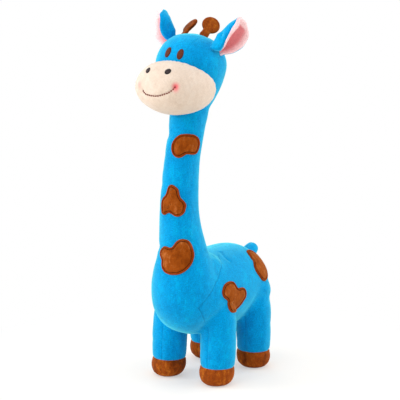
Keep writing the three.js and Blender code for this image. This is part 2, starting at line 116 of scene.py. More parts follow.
def set_coordinates(mesh: bpy.types.Mesh, places: Points) -> None:
    """Moves a mesh's vertices to these places."""
    mesh.vertices.foreach_set("co", places.astype(np.float32).ravel())
    mesh.update()


def normals(mesh: bpy.types.Mesh) -> Points:
    """The normals of a mesh's vertices, a row each."""
    return vertex_rows(mesh, "normal")


def edge_pairs(mesh: bpy.types.Mesh) -> Points:
    """The two vertices of each edge of a mesh.

    Args:
        mesh: the mesh.

    Returns:
        A row of two vertex numbers for each edge.
    """
    flat = np.empty(len(mesh.edges) * 2, np.int32)
    mesh.edges.foreach_get("vertices", flat)
    return flat.reshape(-1, 2)


def set_attribute(mesh: bpy.types.Mesh, name: str, values: Points) -> None:
    """Stores one number for each vertex under a name."""
    attribute = mesh.attributes.get(name) or mesh.attributes.new(name, "FLOAT", "POINT")
    attribute.data.foreach_set("value", values.astype(np.float32))


def bell(distance: Points, width: float) -> Points:
    """A bell curve that is 1 at no distance and fades over a width."""
    return np.exp(-((distance / width) ** 2))


def ramp(values: Points, low: float, high: float) -> Points:
    """A smooth step from 0 at low to 1 at high."""
    share = np.clip((values - low) / (high - low), 0, 1)
    return share * share * (3 - 2 * share)


def lumps(places: Points, size: float, seed: float = 0.0) -> Points:
    """Smooth noise from -1 to 1 with lumps of a size, at each place."""
    shift = Vector((seed, 2 * seed, -seed))
    return np.array([noise.noise(Vector(place) / size + shift) for place in places])


def relax(places: Points, pairs: Points, rounds: int, weight: Points | float = 1.0, back: float = 0.52) -> Points:
    """Smooths a mesh without shrinking it.

    Args:
        places: where the vertices are.
        pairs: the edges of the mesh.
        rounds: how often each vertex moves.
        weight: how far each vertex takes part, 0 to 1.
        back: how far it moves back in each round; less than 0.5 fills hollows and lowers bulges.

    Returns:
        The smoothed places.
    """
    count = np.bincount(pairs.ravel(), minlength=len(places))[:, None].clip(1)
    share = np.broadcast_to(np.asarray(weight, float).reshape(-1, 1), (len(places), 1))
    for step in range(2 * rounds):
        total = np.zeros_like(places)
        for axis in range(3):
            total[:, axis] = np.bincount(pairs[:, 0], places[pairs[:, 1], axis], len(places))
            total[:, axis] += np.bincount(pairs[:, 1], places[pairs[:, 0], axis], len(places))
        pull = 0.5 if step % 2 == 0 else -back
        places = places + pull * share * (total / count - places)
    return places


def smooth_curve(rows: Sequence[Sequence[float]], shares: Points) -> Points:
    """Points of the centripetal Catmull-Rom curve through rows.

    Args:
        rows: the points that the curve runs through.
        shares: where on its spans to look, from 0 to 1.

    Returns:
        A point for each share.
    """
    knots = np.array(rows, float)
    knots = np.vstack([2 * knots[0] - knots[1], knots, 2 * knots[-1] - knots[-2]])
    spans = len(knots) - 3
    index = np.minimum((shares * spans).astype(int), spans - 1)
    along = (shares * spans - index)[:, None]
    p0, p1, p2, p3 = (knots[index + step] for step in range(4))
    root = [np.sqrt(np.linalg.norm(b - a, axis=1))[:, None] for a, b in ((p0, p1), (p1, p2), (p2, p3))]
    middle = np.where(root[1] < 1e-4, 1.0, root[1])
    before = np.where(root[0] < 1e-4, middle, root[0])
    after = np.where(root[2] < 1e-4, middle, root[2])
    leave = ((p1 - p0) / before - (p2 - p0) / (before + middle) + (p2 - p1) / middle) * middle
    reach = ((p2 - p1) / middle - (p3 - p1) / (middle + after) + (p3 - p2) / after) * middle
    cubic = 2 * (p1 - p2) + leave + reach
    square = 3 * (p2 - p1) - 2 * leave - reach
    return p1 + along * (leave + along * (square + along * cubic))


def deselect() -> None:
    """Leaves edit mode and selects nothing."""
    if bpy.context.object and bpy.context.object.mode != "OBJECT":
        bpy.ops.object.mode_set(mode="OBJECT")
    bpy.ops.object.select_all(action="DESELECT")


def activate(piece: bpy.types.Object) -> None:
    """Makes a piece the only selected one.

    Args:
        piece: the piece.
    """
    deselect()
    piece.select_set(True)
    bpy.context.view_layer.objects.active = piece


def new_piece(name: str, places: Points, faces: Sequence[Sequence[int]]) -> bpy.types.Object:
    """Puts a mesh into the scene as a smooth piece.

    Args:
        name: its name.
        places: its vertices, in metres.
        faces: the vertex numbers of its faces.

    Returns:
        The piece.
    """
    mesh = bpy.data.meshes.new(name)
    mesh.from_pydata(places.tolist(), [], [list(map(int, face)) for face in faces])
    mesh.shade_smooth()
    piece = bpy.data.objects.new(name, mesh)
    bpy.context.scene.collection.objects.link(piece)
    return piece


def subdivide(piece: bpy.types.Object, levels: int) -> None:
    """Applies a smooth subdivision to a piece.

    Args:
        piece: the piece.
        levels: how many times its faces are halved.
    """
    activate(piece)
    modifier = piece.modifiers.new("finer", "SUBSURF")
    modifier.levels = modifier.render_levels = levels
    bpy.ops.object.modifier_apply(modifier=modifier.name)


def tree_of(mesh: bpy.types.Mesh) -> BVHTree:
    """A search tree over the faces of a mesh."""
    return BVHTree.FromPolygons(coordinates(mesh).tolist(), [tuple(face.vertices) for face in mesh.polygons])


def finished(piece: bpy.types.Object, material: bpy.types.Material, slot: Slot, *nodes: str) -> None:
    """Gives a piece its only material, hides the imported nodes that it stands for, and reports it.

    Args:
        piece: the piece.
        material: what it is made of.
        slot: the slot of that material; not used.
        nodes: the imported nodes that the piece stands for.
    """
    piece.data.materials.clear()
    piece.data.materials.append(material)
    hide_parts(*nodes)
    LOG.info("made %s with %d faces", piece.name, len(piece.data.polygons))


def weld(piece: bpy.types.Object) -> None:
    """Merges the doubled vertices of a closed piece and turns its faces outwards.

    Args:
        piece: the piece.
    """
    activate(piece)
    bpy.ops.object.mode_set(mode="EDIT")
    bpy.ops.mesh.select_all(action="SELECT")
    bpy.ops.mesh.remove_doubles(threshold=0.02 * MM)
    bpy.ops.mesh.normals_make_consistent(inside=False)
    bpy.ops.object.mode_set(mode="OBJECT")


def flat_sheet(name: str, outline: Points, steps: Sequence[float]) -> bpy.types.Object:
    """Models a flat sheet in the XY plane, with rings of edges inside its outline.

    Args:
        name: the sheet's name.
        outline: its outline, in millimetres.
        steps: how far each ring lies inside the one before, in millimetres.

    Returns:
        The sheet, still in edit mode, with its middle face selected.
    """
    deselect()
    bpy.ops.mesh.primitive_circle_add(vertices=len(outline), radius=1, fill_type="NGON", location=(0, 0, 0))
    piece = bpy.context.object
    piece.name = piece.data.name = name
    set_coordinates(piece.data, np.column_stack([outline * MM, np.zeros(len(outline))]))
    bpy.ops.object.mode_set(mode="EDIT")
    bpy.ops.mesh.select_all(action="SELECT")
    bpy.ops.mesh.normals_make_consistent(inside=False)
    for step in steps:
        bpy.ops.mesh.inset(thickness=step * MM, use_even_offset=True)
    return piece


def from_rim(flat: Points, outline: Points) -> tuple[Points, Points]:
    """Where points lie inside a closed outline.

    Args:
        flat: the points, in millimetres.
        outline: the outline's corners, in millimetres.

    Returns:
        How far each point lies from the outline, and how far along it.
    """
    ring = np.vstack([outline, outline[:1]])
    start, step = ring[:-1], np.diff(ring, axis=0)
    size = np.linalg.norm(step, axis=1)
    share = np.clip(((flat[:, None] - start) * step).sum(-1) / size**2, 0, 1)
    away = np.linalg.norm(flat[:, None] - (start + share[..., None] * step), axis=-1)
    nearest = away.argmin(axis=1)
    rows = np.arange(len(flat))
    lengths = np.concatenate([[0], np.cumsum(size)])
    return away[rows, nearest], lengths[nearest] + share[rows, nearest] * size[nearest]


def evenly(ring: Points, count: int) -> Points:
    """Points at even steps along a closed line.

    Args:
        ring: the line's points; the last one is the first again.
        count: how many points to make.

    Returns:
        The points, without the last one.
    """
    length = np.concatenate([[0], np.cumsum(np.linalg.norm(np.diff(ring, axis=0), axis=1))])
    wanted = np.linspace(0, length[-1], count, endpoint=False)
    return np.column_stack([np.interp(wanted, length, ring[:, axis]) for axis in (0, 1)])


def sewn_on(place: Vector, along: Vector, out: Vector) -> Matrix:
    """The frame of a piece that is sewn on.

    Args:
        place: where it is sewn on, in metres.
        along: the way that it points.
        out: about the way that its face looks.

    Returns:
        The frame: across the piece, along it and out of its face.
    """
    out = (out - along * out.dot(along)).normalized()
    return Matrix.Translation(place) @ Matrix((along.cross(out), along, out)).transposed().to_4x4()


def hinged(piece: bpy.types.Object, body: str, seat: Vector, along: Vector) -> None:
    """Bakes a piece's transform into its mesh.

    Args:
        piece: the piece.
        body: the free body; not used.
        seat: where the piece is sewn on, in metres; not used.
        along: the way that it points; not used.
    """
    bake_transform(piece)


def laid_in(frame_of_piece: Matrix, places: Points) -> Points:
    """Places in millimetres of a piece's own frame, as metres in the shared one."""
    return places * MM @ np.array(frame_of_piece.to_3x3()).T + np.array(frame_of_piece.translation)


@dataclass
class StuffedForm:
    """A stuffed bag: rings stacked along its own Z from pole to pole.

    Each row is a ring's half width, its middle in Y and its height, in millimetres.
    """

    rows: Sequence[Sequence[float]]
    depth_ratio: float = 1.0
    place: Matrix = field(default_factory=Matrix)
    rings: int = 60
    sides: int = 64

    def places(self) -> Points:
        """The points of the form's surface: a pole, the rings and the other pole.

        Returns:
            The points, in metres.
        """
        line = smooth_curve(self.rows, np.linspace(0, 1, self.rings + 1))
        angle = 2 * np.pi * np.arange(self.sides) / self.sides
        width = line[1:-1, 0:1]
        across = width * np.cos(angle)
        deep = line[1:-1, 1:2] + width * self.depth_ratio * np.sin(angle)
        high = np.repeat(line[1:-1, 2:3], self.sides, axis=1)
        body = np.stack([across, deep, high], axis=-1).reshape(-1, 3)
        poles = [np.array([[0, row[1], row[2]]]) for row in (line[0], line[-1])]
        return laid_in(self.place, np.vstack([poles[0], body, poles[1]]))

    def faces(self, first: int = 0) -> list[tuple[int, ...]]:
        """The form's faces.

        Args:
            first: the number of the first vertex.

        Returns:
            The vertex numbers of each face.
        """
        sides, last = self.sides, self.rings - 2

        def at(ring: int, side: int) -> int:
            """The number of a ring's vertex."""
            return first + 1 + ring * sides + side % sides

        top = first + 1 + (last + 1) * sides
        found: list[tuple[int, ...]] = []
        for side in range(sides):
            found.append((first, at(0, side + 1), at(0, side)))
            found.append((top, at(last, side), at(last, side + 1)))
            found += [
                (at(ring, side), at(ring, side + 1), at(ring + 1, side + 1), at(ring + 1, side))
                for ring in range(last)
            ]
        return found


LYING_FORWARD = Matrix.Rotation(math.pi / 2, 4, "X")


@dataclass
class ToyForms:
    """The sizes of the stuffed bags, in millimetres."""

    torso_front: float = -106
    torso_rear: float = 128
    torso_half_width: float = 63
    rump_half_width: float = 65
    torso_half_height: float = 65
    torso_height: float = 141.5
    chest_half_width: float = 55
    chest_depth: float = 68
    chest_y: float = -63
    chest_height: float = 152
    neck_radius: float = 28.4
    neck_y: float = -82
    head_radius: float = 55
    head_y: float = -48
    head_height: float = 509
    neck_in_head: float = 39
    crown_drop: float = 3.2
    muzzle_half_width: float = 61
    muzzle_half_height: float = 44
    muzzle_half_length: float = 62
    muzzle_reach: float = 42
    muzzle_drop: float = 28
    muzzle_lift: float = 5
    leg_radius: float = 28.4
    leg_track: float = 94
    front_leg_lean: float = 0.1
    front_leg_y: float = -44
    rear_leg_y: float = 70
    between_legs_y: float = 13
    leg_top: float = 168
    hoof_height: float = 30
    hoof_radius: float = 28.7
    corner_balls: tuple[tuple[float, float, float, float], ...] = ((31, 17, -39, 183), (32, 38, 76, 128))
    tail_radius: float = 11.6
    tail_length: float = 42
    tail_y: float = 111
    tail_height: float = 172
    tail_lift: float = 20

    def torso(self) -> StuffedForm:
        """The barrel that carries the legs and the neck.

        Returns:
            The bag, which lies forward.
        """

        def row(half_width: float, sag: float, share: float) -> tuple[float, float, float]:
            """A ring a share of the way from the rear to the front."""
            place = (share - 1) * self.torso_rear - share * self.torso_front
            return half_width, self.torso_height - sag * self.torso_half_height, place

        rump, wide = self.rump_half_width, self.torso_half_width
        rows = [
            row(0, 0.215, 0),
            row(0.3 * rump, 0.2, 0.0085),
            row(0.7 * rump, 0.154, 0.06),
            row(0.94 * rump, 0.092, 0.162),
            row(rump, 0.031, 0.29),
            row(wide, 0, 0.692),
            row(0.9 * wide, 0, 0.838),
            row(0.64 * wide, 0, 0.94),
            row(0.28 * wide, 0, 0.9915),
            row(0, 0, 1),
        ]
        return StuffedForm(rows, self.torso_half_height / wide, LYING_FORWARD)

    def neck_level(self, share: float) -> float:
        """A height a share of the way from the widest ring of the chest to the end of the neck."""
        return self.chest_height + share * (self.head_height - self.neck_in_head - self.chest_height)

    def neck(self) -> StuffedForm:
        """The bag of the chest and the neck.

        Returns:
            The bag, which stands upright.
        """
        chest, middle = self.chest_half_width, self.chest_y
        lean = self.head_y - self.neck_y
        rows = [
            (width * chest, middle + back * chest, self.chest_height - share * self.chest_depth)
            for width, back, share in (
                (0, 0.145, 1),
                (0.34, 0.127, 0.97),
                (0.72, 0.073, 0.765),
                (0.94, 0.018, 0.41),
                (1, 0, 0),
            )
        ]
        rows.append((0.9 * chest, 0.79 * middle + 0.21 * self.neck_y, self.neck_level(0.1)))
        rows += [
            (width * self.neck_radius, self.neck_y + back * lean, self.neck_level(share))
            for width, back, share in (
                (1.458, 0.38, 0.189),
                (1.246, 0.206, 0.283),
                (1.113, 0.06, 0.396),
                (1.042, 0.074, 0.513),
                (0.985, 0.29, 0.673),
                (0.995, 0.63, 0.805),
                (1.02, 0.95, 0.937),
                (0.6, 1, 0.987),
                (0, 1.03, 1),
            )
        ]
        return StuffedForm(rows, rings=120)

    def neck_middle(self, share: float) -> Vector:
        """The middle of the neck at a share of its rise.

        Args:
            share: the share of the rise.

        Returns:
            The place, in metres.
        """
        line = smooth_curve(self.neck().rows, np.linspace(0, 1, 400))
        height = self.neck_level(share)
        nearest = line[np.argmin(np.abs(line[:, 2] - height))]
        return Vector((0, nearest[1], height)) * MM

    def head(self) -> StuffedForm:
        """The ball of the head, which tapers to the neck.

        Returns:
            The bag, which stands upright.
        """
        radius = self.head_radius
        rows = [
            (width * radius, self.head_y - lean * radius, self.head_height + rise * radius)
            for width, rise, lean in (
                (0, -1.345, 0.036),
                (0.42, -1.31, 0.036),
                (0.66, -0.98, 0.018),
                (0.88, -0.51, 0),
                (1, 0, 0),
                (0.94, 0.364, 0),
                (0.72, 0.71, 0),
                (0.36, 0.918, 0),
                (0, 0.955, 0),
            )
        ]
        return StuffedForm(rows)

    def crown_fall(self, places: Points) -> Points:
        """How far the crown lies lower than a ball behind the horns.

        Args:
            places: the places, in metres.

        Returns:
            The move for each place.
        """
        away = places / MM - np.array([0, self.head_y, self.head_height])
        away /= np.maximum(np.linalg.norm(away, axis=1, keepdims=True), 1e-9)
        towards = np.array([0.334, 0.404, 0.852])
        folded = np.column_stack([np.abs(away[:, 0]), away[:, 1], np.abs(away[:, 2])])
        turned = np.degrees(np.arccos(np.clip(folded @ towards, -1, 1)))
        high = ramp(away[:, 2], -0.2, 0.2) * (places[:, 2] > (self.head_height - 20) * MM)
        return away * (self.crown_drop * MM * bell(turned, 34) * high)[:, None]

    @property
    def head_middle(self) -> Vector:
        """The middle of the head, in millimetres."""
        return Vector((0, self.head_y, self.head_height))

    @property
    def muzzle_middle(self) -> Vector:
        """The middle of the muzzle, in metres."""
        return Vector((0, self.head_y - self.muzzle_reach, self.head_height - self.muzzle_drop)) * MM

    def muzzle(self) -> StuffedForm:
        """The egg of the muzzle.

        Returns:
            The bag, which lies forward and lifts its front a little.
        """
        fullness, steps = 0.8, 12
        angles = [math.pi * step / steps for step in range(steps + 1)]
        rows = [
            (self.muzzle_half_width * max(math.sin(a), 0) ** fullness, 0, -self.muzzle_half_length * math.cos(a))
            for a in angles
        ]
        lift = Matrix.Rotation(-math.radians(self.muzzle_lift), 4, "X")
        place = Matrix.Translation(self.muzzle_middle) @ lift @ LYING_FORWARD
        ratio = self.muzzle_half_height / self.muzzle_half_width
        return StuffedForm(rows, ratio, place, rings=72, sides=96)

    def leg(self, side: Side, y: float) -> StuffedForm:
        """A leg with its hoof, from the sole to its root in the torso.

        Args:
            side: the side that the leg is on.
            y: where it stands, in millimetres.

        Returns:
            The bag, which stands upright; a front leg leans.
        """
        hoof = self.hoof_height

        def row(width: float, lean: float, share: float) -> tuple[float, float, float]:
            """A ring a share of the way from the hoof to the root."""
            return width * self.leg_radius, lean * self.leg_radius, hoof + share * (self.leg_top - hoof)

        rows = [
            (0, 0, -0.5),
            (0.48 * self.hoof_radius, 0, -0.2),
            (0.83 * self.hoof_radius, 0, 0.17 * hoof),
            (0.99 * self.hoof_radius, 0, 0.55 * hoof),
            row(0.98, 0, 0),
            row(1, 0, 0.16),
            row(1.03, 0.04, 0.36),
            row(1.03, 0.15, 0.61),
            row(0.8, 0.44, 0.8),
            row(0.4, 0.73, 0.957),
            row(0, 0.8, 1),
        ]
        middle = Vector((side.value * self.leg_track / 2, y, 0)) * MM
        turn = Matrix.Rotation(side.value * math.pi / 2, 4, "Z")
        lean = Matrix()
        if y == self.front_leg_y:
            lean[1][2], lean[1][3] = self.front_leg_lean, -self.front_leg_lean * hoof * MM
        return StuffedForm(rows, place=Matrix.Translation(middle) @ lean @ turn)

    def corners(self) -> list[StuffedForm]:
        """The stuffing that rounds the corners beside the neck and over the rear legs.

        Returns:
            A ball on each side for each corner.
        """
        balls = []
        for radius, x, y, z in self.corner_balls:
            rows = [(radius * math.sin(a), 0, -radius * math.cos(a)) for a in np.linspace(0, math.pi, 13)]
            for side in Side:
                place = Matrix.Translation(Vector((side.value * x, y, z)) * MM)
                balls.append(StuffedForm(rows, place=place, rings=32, sides=40))
        return balls

    def legs(self) -> dict[str, StuffedForm]:
        """The four legs by name."""
        rows = {"front": self.front_leg_y, "rear": self.rear_leg_y}
        return {f"{row}_{side.word}": self.leg(side, y) for row, y in rows.items() for side in Side}


@dataclass
class Graph:
    """Adds nodes and links to a node tree in few words."""

    tree: bpy.types.NodeTree

    def add(self, kind: str, inputs: dict | None = None, **settings: object) -> bpy.types.Node:
        """Adds a node.

        Args:
            kind: the node's type, without its ShaderNode prefix.
            inputs: a socket or a value for each input, by name or number.
            settings: the node's own properties.

        Returns:
            The node.
        """
        node = self.tree.nodes.new(kind if kind.startswith("Node") else f"ShaderNode{kind}")
        for name, value in settings.items():
            setattr(node, name, value)
        for name, value in (inputs or {}).items():
            if isinstance(value, bpy.types.NodeSocket):
                self.link(value, node.inputs[name])
            else:
                node.inputs[name].default_value = value
        return node

    def link(self, source: Socket, target: Socket) -> None:
        """Joins two sockets."""
        self.tree.links.new(source, target)

    def noise(self, vector: Socket, size: float, detail: float, rough: float = 0.5) -> Socket:
        """Noise with features of a size in metres."""
        values = {"Vector": vector, "Scale": 1 / size, "Detail": detail, "Roughness": rough}
        return self.add("TexNoise", values).outputs["Fac"]

    def math(self, operation: str, *values: object) -> Socket:
        """The result of a sum on sockets or numbers."""
        return self.add("Math", dict(enumerate(values)), operation=operation).outputs[0]

    def span(self, value: Socket, low: float, high: float, to_low: float = 0.0, to_high: float = 1.0) -> Socket:
        """A value mapped smoothly from one span to another, and held inside it."""
        inputs = {"Value": value, "From Min": low, "From Max": high, "To Min": to_low, "To Max": to_high}
        return self.add("MapRange", inputs, interpolation_type="SMOOTHSTEP").outputs["Result"]

    def mix(self, share: object, first: object, second: object) -> Socket:
        """A mix of two colours, by a share from 0 to 1."""
        inputs = {0: share, 6: first, 7: second}
        return self.add("Mix", inputs, data_type="RGBA", clamp_result=True).outputs[2]

    def attribute(self, name: str) -> Socket:
        """A number that the mesh stores for each vertex."""
        return self.add("Attribute", attribute_name=name).outputs["Fac"]

    def dress(self, shader: bpy.types.Node, colour: Socket, height: Socket, bump: tuple[float, float]) -> None:
        """Feeds a shader its colour and its relief.

        Args:
            shader: the Principled shader.
            colour: its base colour.
            height: the height of its relief.
            bump: the strength of the relief and its depth in metres.
        """
        self.link(colour, shader.inputs["Base Color"])
        relief = self.add("Bump", {"Height": height, "Strength": bump[0], "Distance": bump[1]})
        self.link(relief.outputs["Normal"], shader.inputs["Normal"])


def new_material(name: str) -> tuple[bpy.types.Material, Graph, bpy.types.Node]:
    """Starts a material.

    Args:
        name: the material's name.

    Returns:
        The material, a graph on its nodes and its shader.
    """
    material = bpy.data.materials.new(name)
    material.use_nodes = True
    return material, Graph(material.node_tree), material.node_tree.nodes["Principled BSDF"]


def set_inputs(node: bpy.types.Node, values: dict[str, object]) -> None:
    """Sets a node's inputs to constants, by name.

    Args:
        node: the node.
        values: the value of each input.
    """
    for name, value in values.items():
        node.inputs[name].default_value = value


def new_group(
    name: str, inputs: dict[str, object], outputs: Sequence[str]
) -> tuple[Graph, bpy.types.Node, bpy.types.Node]:
    """Makes an empty shader group.

    Args:
        name: the group's name.
        inputs: a default for each input: four numbers for a colour, three for a vector, or one number.
        outputs: the names of the outputs; one with Colour in it is a colour.

    Returns:
        A graph on the group, and its input and output nodes.
    """
    tree = bpy.data.node_groups.new(name, "ShaderNodeTree")
    kinds = {4: "NodeSocketColor", 3: "NodeSocketVector", 1: "NodeSocketFloat"}
    for label, default in inputs.items():
        size = len(default) if isinstance(default, tuple) else 1
        socket = tree.interface.new_socket(label, in_out="INPUT", socket_type=kinds[size])
        socket.default_value = default
    for label in outputs:
        kind = kinds[4] if "Colour" in label else kinds[1]
        tree.interface.new_socket(label, in_out="OUTPUT", socket_type=kind)
    graph = Graph(tree)
    return graph, graph.add("NodeGroupInput"), graph.add("NodeGroupOutput")


@functools.cache
def nap_group() -> bpy.types.NodeTree:
    """Short pile: brushed light and dark areas, and the fuzz of the pile itself.

    Returns:
        The group.
    """
    graph, given, made = new_group(
        "short_pile",
        {
            "Vector": (0.0, 0.0, 0.0),
            "Colour": (0.5, 0.5, 0.5, 1.0),
            "Brushed Colour": (0.6, 0.6, 0.6, 1.0),
            "Deep Colour": (0.4, 0.4, 0.4, 1.0),
            "Seam And Shade Colour": (0.2, 0.2, 0.2, 1.0),
            "Brushed": 0.5,
            "Deep": 0.5,
            "Fuzz": 0.15,
            "Seam": 0.0,
        },
        ["Colour", "Height"],
    )
    place = given.outputs["Vector"]
    slanted = {"Vector": place, "Scale": (1.0, 1.0, 0.6), "Rotation": (0.3, 0.2, 0.1)}
    strokes = graph.add("Mapping", slanted).outputs[0]
    broad = graph.noise(strokes, 0.030, 3, 0.55)
    fine = graph.noise(strokes, 0.006, 3, 0.6)
    fuzz = graph.noise(place, 0.0017, 2, 0.6)
    patchy = graph.math("MULTIPLY_ADD", fine, 0.5, graph.math("MULTIPLY", broad, 0.5))
    brushed = graph.math("MULTIPLY", graph.span(patchy, 0.5, 0.64), given.outputs["Brushed"])
    deep = graph.math("MULTIPLY", graph.span(patchy, 0.5, 0.37), given.outputs["Deep"])
    colour = graph.mix(brushed, given.outputs["Colour"], given.outputs["Brushed Colour"])
    colour = graph.mix(deep, colour, given.outputs["Deep Colour"])
    # darker seam lines; on the ear lining this mix paints shade into the hollow of the cup
    colour = graph.mix(given.outputs["Seam"], colour, given.outputs["Seam And Shade Colour"])
    grain = graph.math("MULTIPLY_ADD", graph.span(fuzz, 0.25, 0.75, -1.0, 1.0), given.outputs["Fuzz"], 1.0)
    shaded = graph.add("VectorMath", {0: colour, 1: grain}, operation="MULTIPLY").outputs[0]
    graph.link(shaded, made.inputs["Colour"])
    graph.link(graph.math("MULTIPLY_ADD", fine, 0.4, fuzz), made.inputs["Height"])
    return graph.tree


@functools.cache
def thread_group() -> bpy.types.NodeTree:
    """Satin stitches that run along X of the given vector, side by side along Y.

    Returns:
        The group.
    """
    graph, given, made = new_group(
        "satin_stitches",
        {
            "Vector": (0.0, 0.0, 0.0),
            "Colour": (0.5, 0.5, 0.5, 1.0),
            "Glint Colour": (0.6, 0.6, 0.6, 1.0),
            "Pitch": 0.0006,
        },
        ["Colour", "Height"],
    )
    parts = graph.add("SeparateXYZ", {0: given.outputs["Vector"]})
    wander = graph.noise(given.outputs["Vector"], 0.003, 1)
    row = graph.math("DIVIDE", parts.outputs["Y"], given.outputs["Pitch"])
    row = graph.math("MULTIPLY_ADD", wander, 0.8, row)
    wave = graph.math("SINE", graph.math("MULTIPLY", row, 2 * math.pi))
    height = graph.span(wave, -1.0, 0.8)
    glint = graph.math("MULTIPLY", height, graph.span(wander, 0.4, 0.65, 0.2, 0.9))
    colour = graph.mix(glint, given.outputs["Colour"], given.outputs["Glint Colour"])
    graph.link(colour, made.inputs["Colour"])
    graph.link(height, made.inputs["Height"])
    return graph.tree


@dataclass(frozen=True)
class PileFinish:
    """A cloth with a short pile: its dye, how it is brushed and how it shines."""

    name: str
    colour: Colour
    brushed_colour: Colour
    deep_colour: Colour
    brushed: float = 0.6
    deep: float = 0.5
    fuzz: float = 0.2
    bump: float = 0.35
    relief: float = 0.0008
    roughness: float = 0.9
    gloss: float = 0.15
    sheen: float = 0.5
    sheen_roughness: float = 0.45
    sheen_colour: Colour = (1.0, 1.0, 1.0, 1.0)

    def dye(self) -> dict[str, object]:
        """What the finish gives to its pile.

        Returns:
            A value for each of these inputs of the group.
        """
        return {
            "Colour": self.colour,
            "Brushed Colour": self.brushed_colour,
            "Deep Colour": self.deep_colour,
            "Brushed": self.brushed,
            "Deep": self.deep,
            "Fuzz": self.fuzz,
        }

    def shine(self) -> dict[str, object]:
        """What the finish gives to its shader.

        Returns:
            A value for each of these inputs of the shader.
        """
        return {
            "Roughness": self.roughness,
            "Specular IOR Level": self.gloss,
            "Sheen Weight": self.sheen,
            "Sheen Roughness": self.sheen_roughness,
            "Sheen Tint": self.sheen_colour,
        }


@dataclass(frozen=True)
class PlushFinish(PileFinish):
    """Short-pile plush of one dye, with darker seams, painted shade in the hollow of the ear lining, and perhaps a
    blush here and there.
    """

    # the seam colour and attribute give darker seams, and on the ear lining painted shade in its hollow
    seam_and_shade_colour: Colour = (0.2, 0.2, 0.2, 1.0)
    seam_and_shade_attribute: str = "seam"
    blushes: tuple[tuple[Vector, float, float], ...] = ()
    blush_colour: Colour = (1.0, 0.3, 0.3, 1.0)

    def material(self) -> bpy.types.Material:
        """The plush's material.

        Returns:
            The material; it reads the shade of the seams, and on the ear lining the painted shade of its hollow.
        """
        material, graph, shader = new_material(self.name)
        place = graph.add("TexCoord").outputs["Object"]
        # the seam inputs carry darker seams, and on the ear lining the painted shade of its hollow
        seams = {"Seam": graph.attribute(self.seam_and_shade_attribute), "Seam And Shade Colour": self.seam_and_shade_colour}
        pile = graph.add("Group", {"Vector": place, **self.dye(), **seams}, node_tree=nap_group())
        colour = pile.outputs["Colour"]
        for point, radius, strength in self.blushes:
            far = graph.add("VectorMath", {0: place, 1: point}, operation="DISTANCE").outputs["Value"]
            spot = graph.span(far, radius, 0.0, 0.0, strength)
            colour = graph.mix(spot, colour, self.blush_colour)
        graph.dress(shader, colour, pile.outputs["Height"], (self.bump, self.relief))
        set_inputs(shader, self.shine())
        return material


@dataclass(frozen=True)
class VelvetFinish(PileFinish):
    """Applique velvet with a turned rim and a line of stitches inside it."""

    rim_colour: Colour = linear(138, 48, 2)
    thread_colour: Colour = linear(58, 14, 0)
    rim_width: float = 3.2
    stitch_pitch: float = 3.0

    def material(self) -> bpy.types.Material:
        """The velvet's material.

        Returns:
            The material; it reads the distance to the rim and along it, in millimetres.
        """
        material, graph, shader = new_material(self.name)
        place = graph.add("TexCoord").outputs["Object"]
        pile = graph.add("Group", {"Vector": place, **self.dye()}, node_tree=nap_group())
        inset, along = graph.attribute("inset"), graph.attribute("along")
        rim = graph.span(inset, self.rim_width + 0.5, self.rim_width - 0.5)
        colour = graph.mix(graph.math("MULTIPLY", rim, 0.7), pile.outputs["Colour"], self.rim_colour)
        off_line = graph.math("ABSOLUTE", graph.math("SUBTRACT", inset, self.rim_width + 0.6))
        wave = graph.math("SINE", graph.math("MULTIPLY", along, 2 * math.pi / self.stitch_pitch))
        dash = graph.math("MULTIPLY_ADD", graph.span(wave, -0.7, 0.0), 0.3, 0.6)
        stitch = graph.math("MULTIPLY", graph.span(off_line, 0.7, 0.1), dash)
        colour = graph.mix(stitch, colour, self.thread_colour)
        height = graph.math("MULTIPLY_ADD", stitch, 0.6, pile.outputs["Height"])
        graph.dress(shader, colour, height, (self.bump, self.relief))
        set_inputs(shader, self.shine())
        return material


@dataclass(frozen=True)
class ThreadFinish:
    """Satin embroidery with a border of another shade."""

    name: str
    colour: Colour
    glint_colour: Colour
    border_colour: Colour
    border_width: float = 1.0
    bump: float = 0.4
    relief: float = 0.0004
    roughness: float = 0.5
    gloss: float = 0.15
    sheen: float = 0.03

    def material(self) -> bpy.types.Material:
        """The thread's material.

        Returns:
            The material; it reads the piece's UV map, in metres, and the distance to its rim.
        """
        material, graph, shader = new_material(self.name)
        flat = graph.add("UVMap", uv_map="stitching").outputs["UV"]
        values = {"Vector": flat, "Colour": self.colour, "Glint Colour": self.glint_colour}
        rows = graph.add("Group", values, node_tree=thread_group())
        border = graph.span(graph.attribute("inset"), self.border_width + 0.3, self.border_width - 0.3)
        colour = graph.mix(border, rows.outputs["Colour"], self.border_colour)
        graph.dress(shader, colour, rows.outputs["Height"], (self.bump, self.relief))
        shine = {"Roughness": self.roughness, "Specular IOR Level": self.gloss, "Sheen Weight": self.sheen}
        set_inputs(shader, shine)
        return material


